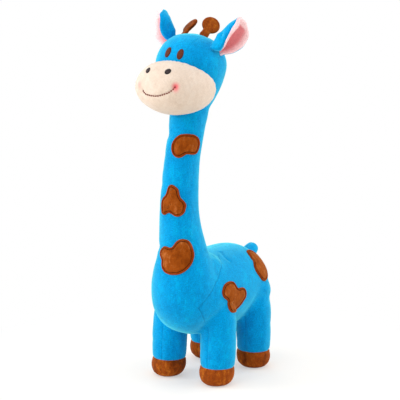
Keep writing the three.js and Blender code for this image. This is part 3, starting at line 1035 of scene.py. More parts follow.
BLUE = PlushFinish(
    "short_blue_pile",
    linear(0, 148, 212),
    linear(0, 181, 231),
    linear(0, 117, 183),
    seam_and_shade_colour=linear(0, 66, 118),
    brushed=0.4,
    deep=0.35,
    sheen=0.94,
    sheen_colour=linear(125, 255, 252),
    sheen_roughness=0.43,
    gloss=0.018,
)
BROWN = PlushFinish(
    "short_brown_pile",
    linear(148, 66, 6),
    linear(192, 106, 26),
    linear(96, 38, 2),
    seam_and_shade_colour=linear(60, 20, 0),
    brushed=0.8,
    deep=0.8,
    sheen=0.25,
    sheen_colour=linear(255, 160, 90),
)
PINK = PlushFinish(
    "short_pink_pile",
    linear(252, 214, 216),
    linear(252, 234, 236),
    linear(248, 184, 186),
    # on the lining this colour is painted shade, laid into the cup of the ear and onto its rolled strip by the
    # hollow attribute
    seam_and_shade_colour=linear(222, 122, 128),
    brushed=0.4,
    deep=0.12,
    fuzz=0.1,
    sheen=0.2,
    seam_and_shade_attribute="hollow",
)
VELVET = VelvetFinish(
    "applique_velvet",
    linear(148, 70, 12),
    linear(196, 118, 62),
    linear(108, 42, 0),
    fuzz=0.15,
    bump=0.3,
    roughness=0.8,
    gloss=0.05,
    sheen=0.45,
    sheen_roughness=0.4,
    sheen_colour=linear(255, 180, 110),
)
EYE_THREAD = ThreadFinish("eye_thread", linear(88, 36, 16), linear(120, 60, 34), linear(84, 24, 4))
NOSTRIL_THREAD = ThreadFinish("nostril_thread", linear(44, 34, 36), linear(78, 66, 68), linear(30, 22, 24))
MOUTH_THREAD = ThreadFinish("mouth_thread", linear(104, 30, 14), linear(134, 54, 34), linear(104, 30, 14), 0.0)


@dataclass(frozen=True)
class Seam:
    """A sewn line or a soft fold on a cover, through guide points.

    All sizes are in millimetres, the shade of the stitched line goes from 0 to 1, and a fold has
    none. A positive fade_in or fade_out moves the fading of that end outwards, and a negative one
    inwards. A seam that isn't held moves with the cloth when the skin is blown up.
    """

    guide: tuple[tuple[float, float, float], ...]
    depth: float = 1.1
    width: float = 1.5
    hollow: float = 0.5
    reach: float = 8.0
    pucker: float = 0.35
    pitch: float = 8.0
    shade: float = 0.7
    both_sides: bool = True
    fade_in: float = 0.0
    fade_out: float = 0.0
    held: bool = True

    def lines(self) -> list[Points]:
        """The seam's points, a millimetre apart.

        Returns:
            A line, or one for each side.
        """
        knots = np.array(self.guide, float)
        length = np.linalg.norm(np.diff(knots, axis=0), axis=1).sum()
        line = smooth_curve(knots, np.linspace(0, 1, int(length) + 2)) * MM
        if not self.both_sides:
            return [line]
        return [line, line * np.array([-1, 1, 1])]


@dataclass
class Sewing:
    """Presses seams and folds into a fine skin; its own sizes are in millimetres."""

    seams: Sequence[Seam]
    fade: float = 6.0
    stitch: float = 3.4

    @staticmethod
    def search_tree(places: Sequence[Sequence[float]]) -> KDTree:
        """A search tree of points.

        Args:
            places: the points.

        Returns:
            The tree.
        """
        tree = KDTree(len(places))
        for index, place in enumerate(places):
            tree.insert(Vector(place), index)
        tree.balance()
        return tree

    def laid_on(self, skin: bpy.types.Object) -> list[tuple[Seam, Points, Points]]:
        """Lays the seams on a skin.

        Args:
            skin: the skin.

        Returns:
            Each seam with its points on the skin and their way along it, in millimetres.
        """
        tree = tree_of(skin.data)
        found = []
        for seam in self.seams:
            for line in seam.lines():
                laid = np.array([tree.find_nearest(Vector(point))[0] for point in line])
                steps = np.linalg.norm(np.diff(laid, axis=0), axis=1)
                found.append((seam, laid, np.concatenate([[0], np.cumsum(steps)]) / MM))
        return found

    def sew(self, skin: bpy.types.Object) -> None:
        """Sinks each seam into a skin, puckers the cloth beside it and stores its shade.

        Args:
            skin: the skin.
        """
        places, out = coordinates(skin.data), normals(skin.data)
        sink, shade = np.zeros(len(places)), np.zeros(len(places))
        for number, (seam, laid, along) in enumerate(self.laid_on(skin)):
            margin = 2.2 * max(seam.reach, seam.width) * MM
            inside = (places > laid.min(axis=0) - margin) & (places < laid.max(axis=0) + margin)
            chosen = np.flatnonzero(inside.all(axis=1))
            tree = self.search_tree(laid)
            near = [tree.find(Vector(place)) for place in places[chosen]]
            index = np.array([hit[1] for hit in near])
            away = np.array([hit[2] for hit in near]) / MM
            way = along[index]
            fade = ramp(np.minimum(way + seam.fade_in, along[-1] - way + seam.fade_out), 0, self.fade)
            wave = np.sin(2 * np.pi * way / seam.pitch + 1.7 * np.sin(way / 13.0) + number)
            beside = bell(away, seam.reach) * (1 - bell(away, 1.5 * seam.width))
            groove = seam.depth * bell(away, seam.width) + seam.hollow * bell(away, seam.reach)
            sink[chosen] += (groove - seam.pucker * wave * beside) * fade
            stitches = 0.8 + 0.2 * np.sin(2 * np.pi * way / self.stitch)
            line = seam.shade * bell(away, 0.75 * seam.width) * fade * stitches
            shade[chosen] = np.maximum(shade[chosen], line)
        set_coordinates(skin.data, places - out * (sink * MM)[:, None])
        set_attribute(skin.data, "seam", shade)


FORMS = ToyForms()


def leg_seams() -> list[Seam]:
    """The seams down the front and the back of each leg.

    Returns:
        Two seams for the front legs and two for the rear ones.
    """
    plain = Seam((), depth=0.8, width=1.2, hollow=0.45, reach=6, pucker=0.22, pitch=7, shade=0.35)
    found = []
    for x, y in ((43.5, FORMS.front_leg_y), (48, FORMS.rear_leg_y)):
        for way, top in ((-1, 100), (1, 88)):
            beside = y + way * (FORMS.leg_radius + 1)
            found.append(replace(plain, guide=tuple((x, beside, z) for z in (3, 14, 30, 52, 76, top))))
    return found


def body_seams() -> list[Seam]:
    """The seams and folds of the blue covers.

    Returns:
        The seams, those of the legs last.
    """
    bib = Seam(
        (
            (14, 4, 206), (26, -8, 202), (36, -21, 196), (45, -36, 187), (51, -48, 178),
            (53, -62, 169), (54, -72, 160), (51, -84, 149), (44, -95, 136),
        ),
        depth=0.5,
        width=1.0,
        hollow=0.1,
        reach=5,
        pucker=0.06,
        shade=0.62,
        fade_in=-14,
        fade_out=6,
        held=False,
    )
    bib_foot = replace(
        bib,
        guide=((44, -95, 136), (44.5, -90, 130), (45, -85, 122), (44.5, -79, 113), (43, -73, 105)),
        shade=0.6,
        fade_in=6,
        fade_out=0,
    )
    nape = Seam(
        (
            (0, -40, 240), (0, -46, 262), (0, -50, 300), (0, -46, 340), (0, -38, 380), (0, -26, 420),
            (0, -16, 446), (0, 2, 480), (0, 8, 510), (0, 0, 545), (0, -22, 560),
        ),
        depth=1.0,
        width=1.6,
        hollow=1.0,
        reach=11,
        pucker=0.9,
        pitch=13,
        shade=0.5,
        both_sides=False,
    )
    spine = Seam(
        ((0, 10, 207), (0, 40, 207), (0, 80, 200), (0, 108, 182)),
        depth=0.5,
        width=1.2,
        hollow=0.15,
        reach=6,
        pucker=0.05,
        shade=0.4,
        both_sides=False,
        held=False,
    )
    belly = Seam(
        ((0, -30, 78), (0, 10, 76), (0, 60, 74), (0, 100, 84), (0, 124, 120), (0, 127, 150)),
        depth=0.7,
        hollow=0.4,
        pucker=0.2,
        shade=0.4,
        both_sides=False,
    )
    crown = Seam(
        ((22, -98, 541), (26, -80, 553), (27, -60, 558), (25, -40, 558), (20, -20, 552), (12, -4, 540), (0, 4, 525)),
        depth=0.35,
        width=1.3,
        hollow=0.15,
        pucker=0.08,
        shade=0.2,
        held=False,
    )
    shoulder_fold = Seam(
        ((16, 10, 206), (24, 5, 203), (32, 0, 199), (38, -1, 194), (43, 2, 189), (48, 8, 184)),
        depth=0.9,
        width=3.0,
        hollow=0.3,
        reach=8,
        pucker=0,
        shade=0.0,
        fade_out=-8,
        held=False,
    )
    return [bib, bib_foot, nape, spine, belly, crown, shoulder_fold, *leg_seams()]


@dataclass
class BlueSkin:
    """The blue covers as one skin, which is then parted into the pieces it is sewn from."""

    forms: ToyForms
    voxel: float = 5 * MM
    pressure: float = 20.0
    cloth_mass: float = 0.02
    tension: float = 2.0
    bending: float = 0.5
    spare_cloth: float = 0.03
    last_frame: int = 20
    swell: float = 2.2 * MM
    shrink: float = 1.0 * MM
    seam_hold: float = 0.85
    seam_hold_width: float = 4 * MM
    sole_kept: float = 3 * MM
    sole_held: float = 2 * MM
    least_swell_share: float = 0.1
    first_rounds: int = 3
    soft_rounds: int = 24
    corner_rounds: int = 10
    last_rounds: int = 2
    skin: bpy.types.Object = field(init=False)
    tree: BVHTree = field(init=False)

    def __post_init__(self) -> None:
        """Puts the bags, which cross each other, into one mesh."""
        forms = self.forms
        bags = [forms.torso(), forms.neck(), forms.head(), *forms.legs().values(), *forms.corners()]
        places: list[Points] = []
        faces: list[tuple[int, ...]] = []
        first = 0
        for bag in bags:
            places.append(bag.places())
            faces += bag.faces(first)
            first += len(places[-1])
        self.skin = new_piece("blue_skin", np.vstack(places), faces)

    def remesh(self) -> None:
        """Turns the crossing bags into one even mesh with soft joins."""
        activate(self.skin)
        self.skin.data.remesh_voxel_size = self.voxel
        bpy.ops.object.voxel_remesh()
        mesh = self.skin.data
        places, pairs = coordinates(mesh), edge_pairs(mesh)
        places = relax(places, pairs, self.first_rounds)
        # the outer sides, the shoulders and the neck under the jaw are smoothed more, and the
        # corners beside the neck are filled
        x, z = np.abs(places[:, 0]) / MM, places[:, 2] / MM
        outside = ramp(x, 36, 56) * ramp(z, 84, 104) * ramp(z, 205, 165)
        shoulder = ramp(z, 120, 150) * ramp(z, 240, 215) * ramp(x, 8, 26)
        under_jaw = ramp(z, 425, 440) * ramp(z, 475, 455)
        weight = np.clip(outside + shoulder + 0.4 * under_jaw, 0, 1)
        places = relax(places, pairs, self.soft_rounds, weight)
        corner = ramp(z, 165, 185) * ramp(z, 228, 212) * ramp(x, 4, 14) * ramp(places[:, 1] / MM, -75, -60)
        places = relax(places, pairs, self.corner_rounds, corner, back=0.2)
        places = relax(places, pairs, self.last_rounds)
        places -= self.forms.crown_fall(places)
        set_coordinates(mesh, places)
        mesh.shade_smooth()

    def inflate(self) -> None:
        """Blows the skin up a little from inside, held at its soles and along its seams."""
        mesh = self.skin.data
        before = coordinates(mesh)
        start = before - normals(mesh) * self.shrink
        start[:, 2] = np.where(before[:, 2] < self.sole_kept, before[:, 2], start[:, 2])
        set_coordinates(mesh, start)
        held = self.skin.vertex_groups.new(name="held")
        sewing = Sewing([seam for seam in body_seams() if seam.held])
        lines = sewing.search_tree(np.vstack([line for _, line, _ in sewing.laid_on(self.skin)]))
        for index, place in enumerate(start):
            away = lines.find(Vector(place))[2]
            weight = 1.0 if place[2] < self.sole_held else self.seam_hold * bell(away, self.seam_hold_width)
            if weight > 0.02:
                held.add([index], weight, "REPLACE")
        modifier = self.skin.modifiers.new("stuffing", "CLOTH")
        cloth = modifier.settings
        cloth.use_pressure = True
        cloth.uniform_pressure_force = self.pressure
        cloth.vertex_group_mass = held.name
        cloth.mass = self.cloth_mass
        cloth.tension_stiffness = cloth.compression_stiffness = self.tension
        cloth.bending_stiffness = self.bending
        cloth.shrink_min = -self.spare_cloth
        cloth.effector_weights.gravity = 0
        modifier.collision_settings.use_collision = False
        modifier.point_cache.frame_start, modifier.point_cache.frame_end = 1, self.last_frame
        scene = bpy.context.scene
        for step in range(1, self.last_frame + 1):
            scene.frame_set(step)
        activate(self.skin)
        bpy.ops.object.modifier_apply(modifier=modifier.name)
        mesh = self.skin.data
        self.skin.vertex_groups.clear()
        scene.frame_set(1)
        out = coordinates(mesh) - start
        set_coordinates(mesh, start)
        facing = normals(mesh)
        rise = np.clip((out * facing).sum(axis=1), self.least_swell_share * self.swell, self.swell)
        rise = relax(np.column_stack([rise, rise, rise]), edge_pairs(mesh), 1)[:, :1]
        set_coordinates(mesh, start + facing * rise)

    def stuff(self) -> None:
        """Refines the skin and gives it the uneven surface of stuffed cloth."""
        subdivide(self.skin, 2)
        mesh = self.skin.data
        places, out = coordinates(mesh), normals(mesh)
        uneven = 0.5 * lumps(places, 42 * MM, 3.1) + 0.25 * lumps(places, 17 * MM, 8.4)
        places = places + out * (uneven * ramp(places[:, 2] / MM, 2, 20) * MM)[:, None]
        places[:, 2] = np.maximum(places[:, 2], 0)
        set_coordinates(mesh, places)
        forms = self.forms
        hoof = np.abs(places[:, 2] / MM - forms.hoof_height)
        in_front = places[:, 1] < forms.between_legs_y * MM
        leg_x = np.sign(places[:, 0]) * forms.leg_track / 2
        leg_y = np.where(in_front, forms.front_leg_y, forms.rear_leg_y)
        inwards = np.column_stack([leg_x, leg_y]) * MM - places[:, :2]
        inwards /= np.maximum(np.linalg.norm(inwards, axis=1, keepdims=True), 1e-9)
        low = places[:, 2] < 60 * MM
        tuck = (1.3 * bell(hoof, 1.6) + 0.6 * bell(hoof, 6)) * low * MM
        places[:, :2] += inwards * tuck[:, None]
        set_coordinates(mesh, places)

    def part(self, blue: bpy.types.Material, brown: bpy.types.Material) -> None:
        """Parts the skin into its covers, which ride on the stuffed body with their fillings.

        Args:
            blue: the material of the covers.
            brown: the material of the hooves.
        """
        activate(self.skin)
        bpy.ops.object.mode_set(mode="EDIT")
        bpy.ops.mesh.select_all(action="SELECT")
        level = self.forms.hoof_height * MM
        bpy.ops.mesh.bisect(plane_co=(0, 0, level), plane_no=(0, 0, 1))
        bpy.ops.object.mode_set(mode="OBJECT")
        mesh = self.skin.data
        smooth = normals(mesh)
        places = coordinates(mesh)
        middles = np.array([polygon.center for polygon in mesh.polygons])
        legs = list(self.forms.legs())
        covers = ["torso_cover", "neck_and_chest_cover", "head_cover", *(f"{leg}_leg_cover" for leg in legs)]
        trees = [tree_of(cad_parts[name].data) for name in covers]
        nearest = np.array([[tree.find_nearest(Vector(middle))[3] for tree in trees] for middle in middles])
        label = np.argmin(nearest, axis=1)
        low = middles[:, 2] < level
        in_front = middles[:, 1] < self.forms.between_legs_y * MM
        for index, leg in enumerate(legs):
            side = 1 if leg.endswith("left") else -1
            own = low & (middles[:, 0] * side > 0) & (in_front == leg.startswith("front"))
            label[own] = len(covers) + index
        seam = np.empty(len(places), np.float32)
        mesh.attributes["seam"].data.foreach_get("value", seam)
        polygons = [tuple(polygon.vertices) for polygon in mesh.polygons]
        for index, name in enumerate(covers + [f"{leg}_hoof" for leg in legs]):
            faces = [polygons[i] for i in np.flatnonzero(label == index)]
            used = np.unique(np.concatenate([np.array(face) for face in faces]))
            place_of = np.full(len(places), -1)
            place_of[used] = np.arange(len(used))
            piece = new_piece(f"sewn_{name}", places[used], [place_of[list(face)] for face in faces])
            set_attribute(piece.data, "seam", seam[used])
            piece.data.normals_split_custom_set_from_vertices(smooth[used].tolist())
            if name.endswith("hoof"):
                finished(piece, brown, Slot.BROWN_PLUSH, name)
            else:
                filling = name.replace("_and_chest", "").replace("cover", "filling")
                finished(piece, blue, Slot.BLUE_PLUSH, name, filling)
            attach(piece, ROOT_BODY)
        self.tree = tree_of(mesh)
        bpy.data.objects.remove(self.skin)


@dataclass
class Muzzle:
    """The cream muzzle: a stuffed egg that is sewn round its rim to the head."""

    forms: ToyForms
    head: BVHTree
    mouth: "MouthLine"

    def build(self) -> bpy.types.Object:
        """Makes the muzzle with its tucked rim and the dip of its mouth.

        Returns:
            The piece, without its material.
        """
        form = self.forms.muzzle()
        piece = new_piece("sewn_muzzle_cover", form.places(), form.faces())
        subdivide(piece, 1)
        mesh = piece.data
        places, out = coordinates(mesh), normals(mesh)
        reach = []
        for place in places:
            point, normal, _, away = self.head.find_nearest(Vector(place))
            reach.append(math.copysign(away, (Vector(place) - point).dot(normal)))
        from_head = np.array(reach) / MM
        angle = np.arctan2(places[:, 0], places[:, 2] - self.forms.muzzle_middle.z)
        pucker = 0.35 * np.sin(34 * angle + 2 * np.sin(5 * angle)) * bell(from_head - 5, 5)
        tuck = 1.6 * bell(from_head, 2.6) + 2.2 * bell(from_head, 10)
        uneven = 0.7 * lumps(places, 45 * MM, 5.2) + 0.25 * lumps(places, 16 * MM, 1.4)
        places = places + out * ((pucker - tuck + uneven) * MM)[:, None]
        set_coordinates(mesh, places)
        set_attribute(mesh, "seam", 0.55 * bell(from_head, 1.5))
        self.mouth.press(piece)
        return piece


@dataclass
class Facing:
    """A way of looking at a form: from a point inside it, outwards."""

    start: Vector
    azimuth: float = 0.0
    tilt: float = 0.0

    @property
    def axes(self) -> tuple[Vector, Vector, Vector]:
        """The directions of this look.

        Returns:
            The ways across, up and out.
        """
        tilted = Matrix.Rotation(math.pi / 2 - math.radians(self.tilt), 3, "X")
        turn = Matrix.Rotation(math.radians(self.azimuth), 3, "Z") @ tilted
        return tuple(turn @ axis for axis in (Vector((1, 0, 0)), Vector((0, 1, 0)), UP))

    def on(self, tree: BVHTree, across: float, up: float) -> tuple[Vector, Vector]:
        """Finds the point of a surface that is seen at a place this way.

        Args:
            tree: the surface.
            across: how far to the side the point is seen, in millimetres.
            up: how far up it is seen, in millimetres.

        Returns:
            Its place and the normal there.
        """
        side, rise, out = self.axes
        start = self.start + side * (across * MM) + rise * (up * MM) + out * 0.2
        place, normal, _, _ = tree.ray_cast(start, -out)
        if place is None:
            place, normal, _, _ = tree.find_nearest(start - out * 0.15)
        return place, normal if normal.dot(out) > 0 else -normal


def closed_outline(corners: Sequence[Sequence[float]], count: int) -> Points:
    """An even closed outline through corners, run the way round that turns left.

    Args:
        corners: the corners, in millimetres.
        count: how many points to make.

    Returns:
        The points.
    """
    knots, fine = np.array(corners, float), 60
    if np.sum(knots[:, 0] * np.roll(knots[:, 1], -1) - knots[:, 1] * np.roll(knots[:, 0], -1)) < 0:
        knots = knots[::-1]
    knots = np.vstack([knots[-2:], knots, knots[:3]])
    rows = np.column_stack([knots, np.zeros(len(knots))])
    dense = smooth_curve(rows, np.linspace(0, 1, fine * (len(knots) - 1) + 1))
    return evenly(dense[2 * fine : (2 + len(corners)) * fine + 1, :2], count)


def oval_outline(half_width: float, half_height: float, lean: float, count: int = 40) -> Points:
    """An oval outline that may lean.

    Args:
        half_width: half its width, in millimetres.
        half_height: half its height, in millimetres.
        lean: how far it leans, in degrees.
        count: how many points to make.

    Returns:
        The points.
    """
    angle = 2 * np.pi * np.arange(count) / count
    oval = np.column_stack([half_width * np.cos(angle), half_height * np.sin(angle)])
    turn = math.radians(lean)
    return oval @ np.array([[math.cos(turn), math.sin(turn)], [-math.sin(turn), math.cos(turn)]])


@dataclass
class Applique:
    """A piece of cloth or stitching that is sewn flat on a cover."""

    name: str
    outline: Points
    facing: Facing
    steps: tuple[float, ...]
    profile: tuple[tuple[float, float], ...]
    thickness: float = 1.2
    unevenness: float = 0.5

    def sheet(self) -> bpy.types.Object:
        """A flat sheet with rings of edges inside its outline, down to its middle.

        Returns:
            The sheet, in the XY plane.
        """
        piece = flat_sheet(self.name, self.outline, self.steps)
        centre = (*(self.outline.mean(axis=0) * MM), 0)
        for share in (0.86, 0.84, 0.82, 0.79, 0.75, 0.7, 0.62, 0.5):
            bpy.ops.mesh.extrude_region_move()
            bpy.ops.transform.resize(value=(share, share, 1), center_override=centre)
        bpy.ops.mesh.poke()
        bpy.ops.object.mode_set(mode="OBJECT")
        return piece

    def build(self, tree: BVHTree) -> bpy.types.Object:
        """Models the sheet and lays it on a cover.

        Args:
            tree: the cover's surface.

        Returns:
            The piece.
        """
        piece = self.sheet()
        mesh = piece.data
        flat = coordinates(mesh)[:, :2] / MM
        inset, along = from_rim(flat, self.outline)
        depth, rise = np.array(self.profile).T
        height = np.interp(inset, depth, rise)
        height += self.unevenness * lumps(np.column_stack([flat, inset]), 8.0, 2.0) * ramp(inset, 2.0, 6.0)
        laid = [self.facing.on(tree, *point) for point in flat]
        places = np.array([place + normal * (h * MM) for (place, normal), h in zip(laid, height)])
        set_coordinates(mesh, places)
        set_attribute(mesh, "inset", inset)
        set_attribute(mesh, "along", along)
        uv = mesh.uv_layers[0] if mesh.uv_layers else mesh.uv_layers.new(name="stitching")
        uv.name = "stitching"
        corners = np.empty(len(mesh.loops), np.int32)
        mesh.loops.foreach_get("vertex_index", corners)
        uv.data.foreach_set("uv", (flat[corners] * MM).astype(np.float32).ravel())
        activate(piece)
        wall = piece.modifiers.new("thickness", "SOLIDIFY")
        wall.thickness, wall.offset = self.thickness * MM, -1
        bpy.ops.object.modifier_apply(modifier=wall.name)
        mesh.shade_smooth()
        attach(piece, ROOT_BODY)
        return piece


PATCH_STEPS = (0.25, 0.35, 0.5, 0.6, 0.6, 0.45, 0.35, 0.3, 0.3, 0.35, 0.5, 0.6)
PATCH_PROFILE = (
    (0, -0.8), (0.25, 0.9), (0.6, 1.7), (1.1, 2.3), (1.7, 2.4), (2.3, 1.9), (2.75, 1.0),
    (3.1, 0.3), (3.4, 0.2), (3.7, 0.8), (4.1, 1.5), (6, 2.2), (12, 2.8),
)
BEAN = (
    (-23.4, -4.2), (-22.6, 1.2), (-20.3, 6.9), (-17, 11.7), (-12.6, 15.4), (-8.3, 17.8), (-1.9, 18.5), (5.9, 18.2),
    (11.7, 16.9), (16.4, 13.9), (19.5, 9.6), (20.7, 4.4), (20.3, -1.6), (18, -8), (15.5, -12.1), (11.9, -13.8),
    (6.5, -13.4), (1.9, -12.5), (-2.1, -12.9), (-5.4, -14.8), (-8.8, -16.9), (-13.1, -17.9), (-17.3, -17.2),
    (-20.3, -15.1), (-22.4, -11.5), (-23.3, -7.9),
)
SADDLE = (
    (-1.6, 25), (3.2, 23.9), (7.3, 21.3), (10.3, 18.2), (11.9, 13.2), (12.8, 8.7), (14.7, 4.8), (18.2, 0.9),
    (20.5, -2.5), (21.8, -6.4), (21.4, -11.4), (20, -17.6), (17.4, -21.5), (13.4, -24), (8.7, -24.7), (4.3, -23.2),
    (0.5, -20.7), (-3.2, -19.6), (-7.3, -21), (-10.8, -23.3), (-14.4, -23.8), (-17.6, -21.4), (-18.9, -15.3),
    (-19.3, -7.5), (-18, -0.2), (-15.8, 3.5), (-12.1, 6.9), (-9.5, 11.7), (-8, 17.5), (-6.1, 22.1),
)
HEART = (
    (-17.7, 15.1), (-21.6, 12.3), (-25.7, 7.4), (-27.1, 0.6), (-25.7, -4.7), (-23.5, -8.7), (-23.4, -14.2),
    (-21.7, -19.2), (-18, -23.3), (-12.7, -26.3), (-5.8, -27.8), (1.7, -27.7), (9.2, -26.5), (15.7, -23.7),
    (21.5, -19), (25.4, -13.6), (28.1, -6.2), (29.1, 1.5), (28.3, 9.1), (26.5, 16), (23.9, 22.1), (20.6, 26.6),
    (16.4, 28.8), (11.3, 29.2), (6.5, 27.3), (2.1, 23.2), (-0.9, 18.9), (-3.5, 15.8), (-7.3, 14.6), (-11.9, 15.2),
)
CLOVER = (
    (-37.5, 17.5), (-34.3, 22.9), (-28.1, 27.8), (-19.6, 30.1), (-10.7, 29.9), (-4.1, 27.6), (-0.5, 23.1),
    (1.8, 18.6), (5.5, 15.8), (11.5, 15.3), (17.4, 14.8), (22.9, 12.1), (26.3, 7.8), (27.4, 2.6), (26.5, -2.7),
    (22.5, -6.9), (18, -11.1), (13.2, -15.4), (7.2, -18.6), (-0.5, -20.4), (-9, -20.3), (-16.7, -19.4),
    (-22.5, -18.1), (-26, -16), (-27, -12.5), (-26.1, -8.3), (-24.9, -4), (-24.5, -0.2), (-27.9, 3.2), (-33.4, 7),
    (-37.2, 12.1),
)
KIDNEY = (
    (-11, 35), (-15, 31.7), (-19, 25.2), (-21.2, 19.2), (-24.6, 15.6), (-29.8, 10.7), (-31.7, 4.9), (-30.5, -2.3),
    (-27, -10.2), (-21.8, -18), (-15, -21.8), (-6, -21), (4, -16), (12, -8), (16.5, 3), (17, 14), (13, 25),
    (5, 32.5), (-4, 36),
)


@dataclass
class Patches:
    """The brown patches of the neck, the flanks and the rump."""

    forms: ToyForms
    skin: BVHTree
    flank_y: float = -15
    flank_drop: float = 4
    rump_y: float = 56
    rump_azimuth: float = 119
    rump_tilt: float = 24

    @staticmethod
    def applique(name: str, corners: Sequence[Sequence[float]], facing: Facing, flip: bool) -> Applique:
        """A patch of an outline.

        Args:
            name: the patch's name.
            corners: the corners of its outline.
            facing: how it is laid on.
            flip: whether it is the mirror image.

        Returns:
            The patch.
        """
        outline = closed_outline(corners, 120)
        if flip:
            outline = (outline * np.array([-1, 1]))[::-1]
        return Applique(name, outline, facing, PATCH_STEPS, PATCH_PROFILE)

    def build(self, velvet: bpy.types.Material) -> None:
        """Makes all the patches.

        Args:
            velvet: what they are made of.
        """
        on_neck = self.forms.neck_middle
        flank = Vector((0, self.flank_y, self.forms.torso_height - self.flank_drop)) * MM
        rump = Vector((0, self.rump_y, self.forms.torso_height)) * MM
        wanted = {
            "neck_patch_upper": (BEAN, Facing(on_neck(0.748), 40), False),
            "neck_patch_middle": (SADDLE, Facing(on_neck(0.484), 8), False),
            "neck_patch_lower": (HEART, Facing(on_neck(0.204), 12), False),
            "nape_patch_upper": (SADDLE, Facing(on_neck(0.616), 200), True),
            "nape_patch_lower": (BEAN, Facing(on_neck(0.346), 243), True),
        }
        for side in Side:
            sign = side.value
            wanted[f"flank_patch_{side.word}"] = (CLOVER, Facing(flank, sign * 90), sign < 0)
            tilted = Facing(rump, sign * self.rump_azimuth, self.rump_tilt)
            wanted[f"rump_patch_{side.word}"] = (KIDNEY, tilted, sign < 0)
        for node, (corners, facing, flip) in wanted.items():
            piece = self.applique(f"velvet_{node}", corners, facing, flip).build(self.skin)
            finished(piece, velvet, Slot.BROWN_VELVET, node)


@dataclass
class MouthLine:
    """The smile: a line of small stitches, with the cloth drawn in under it."""

    forms: ToyForms
    guide: tuple[tuple[float, float], ...] = (
        (-24, -1.5), (-21, -4.3), (-15.5, -7), (-8, -8.2), (0, -8.7),
        (9, -7.9), (18.5, -5), (25.2, -2), (30.3, 2), (33.5, 6.8),
    )
    stitch_length: float = 3.0
    stitch_width: float = 2.4
    stitch_pitch: float = 3.7

    @property
    def facing(self) -> Facing:
        """How the mouth is seen: from the front."""
        return Facing(self.forms.muzzle_middle)

    def line(self, count: int) -> list[tuple[float, float]]:
        """Points of the smile, in millimetres across and up."""
        rows = [(x, z, 0) for x, z in self.guide]
        return [(x, z) for x, z, _ in smooth_curve(rows, np.linspace(0, 1, count))]

    def press(self, muzzle: bpy.types.Object) -> None:
        """Draws the cloth in along the mouth, more so at its corners.

        Args:
            muzzle: the muzzle.
        """
        tree = tree_of(muzzle.data)
        laid = [self.facing.on(tree, *point)[0] for point in self.line(120)]
        line, ends = Sewing.search_tree(laid), Sewing.search_tree([laid[0], laid[-1]])
        places, out = coordinates(muzzle.data), normals(muzzle.data)
        near, end = (np.array([found.find(Vector(place))[2] for place in places]) / MM for found in (line, ends))
        press = 1.2 * bell(near, 1.6) + 0.7 * bell(near, 5) + 1.8 * bell(end, 6)
        set_coordinates(muzzle.data, places - out * (press * MM)[:, None])

    def corner(self, muzzle: BVHTree) -> Vector:
        """The left corner of the mouth on the muzzle."""
        return self.facing.on(muzzle, *self.guide[-1])[0]

    def build(self, muzzle: BVHTree, thread: bpy.types.Material) -> None:
        """Sews the stitches along the smile.

        Args:
            muzzle: the surface of the muzzle.
            thread: what they are made of.
        """
        deselect()
        bpy.ops.mesh.primitive_uv_sphere_add(segments=8, ring_count=6, radius=1, location=(0, 0, 0))
        stitch = bpy.context.object
        shape = coordinates(stitch.data)
        faces = [tuple(polygon.vertices) for polygon in stitch.data.polygons]
        bpy.data.objects.remove(stitch)
        laid = [self.facing.on(muzzle, *point) for point in self.line(600)]
        path = np.array([place for place, _ in laid])
        length = np.concatenate([[0], np.cumsum(np.linalg.norm(np.diff(path, axis=0), axis=1))]) / MM
        count = int(length[-1] / self.stitch_pitch)
        places, found = [], []
        lengths = Vector((self.stitch_length, self.stitch_width, self.stitch_width)) / 2
        for number in range(count):
            index = int(np.searchsorted(length, (number + 0.5) * length[-1] / count))
            index = min(max(index, 3), len(path) - 4)
            along = Vector(path[index + 3] - path[index - 3]).normalized()
            out = laid[index][1]
            beside = out.cross(along).normalized()
            along = (along + beside * (0.2 if number % 2 else -0.14)).normalized()
            axes = np.array([axis * size for axis, size in zip((along, beside, out), lengths)])
            found += [tuple(v + len(shape) * number for v in face) for face in faces]
            places.append(shape @ axes * MM + path[index] + np.array(out) * 0.3 * MM)
        piece = new_piece("stitched_mouth", np.vstack(places), found)
        set_attribute(piece.data, "inset", np.full(len(piece.data.vertices), 5.0))
        finished(piece, thread, Slot.BROWN_THREAD, "mouth")
        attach(piece, ROOT_BODY)


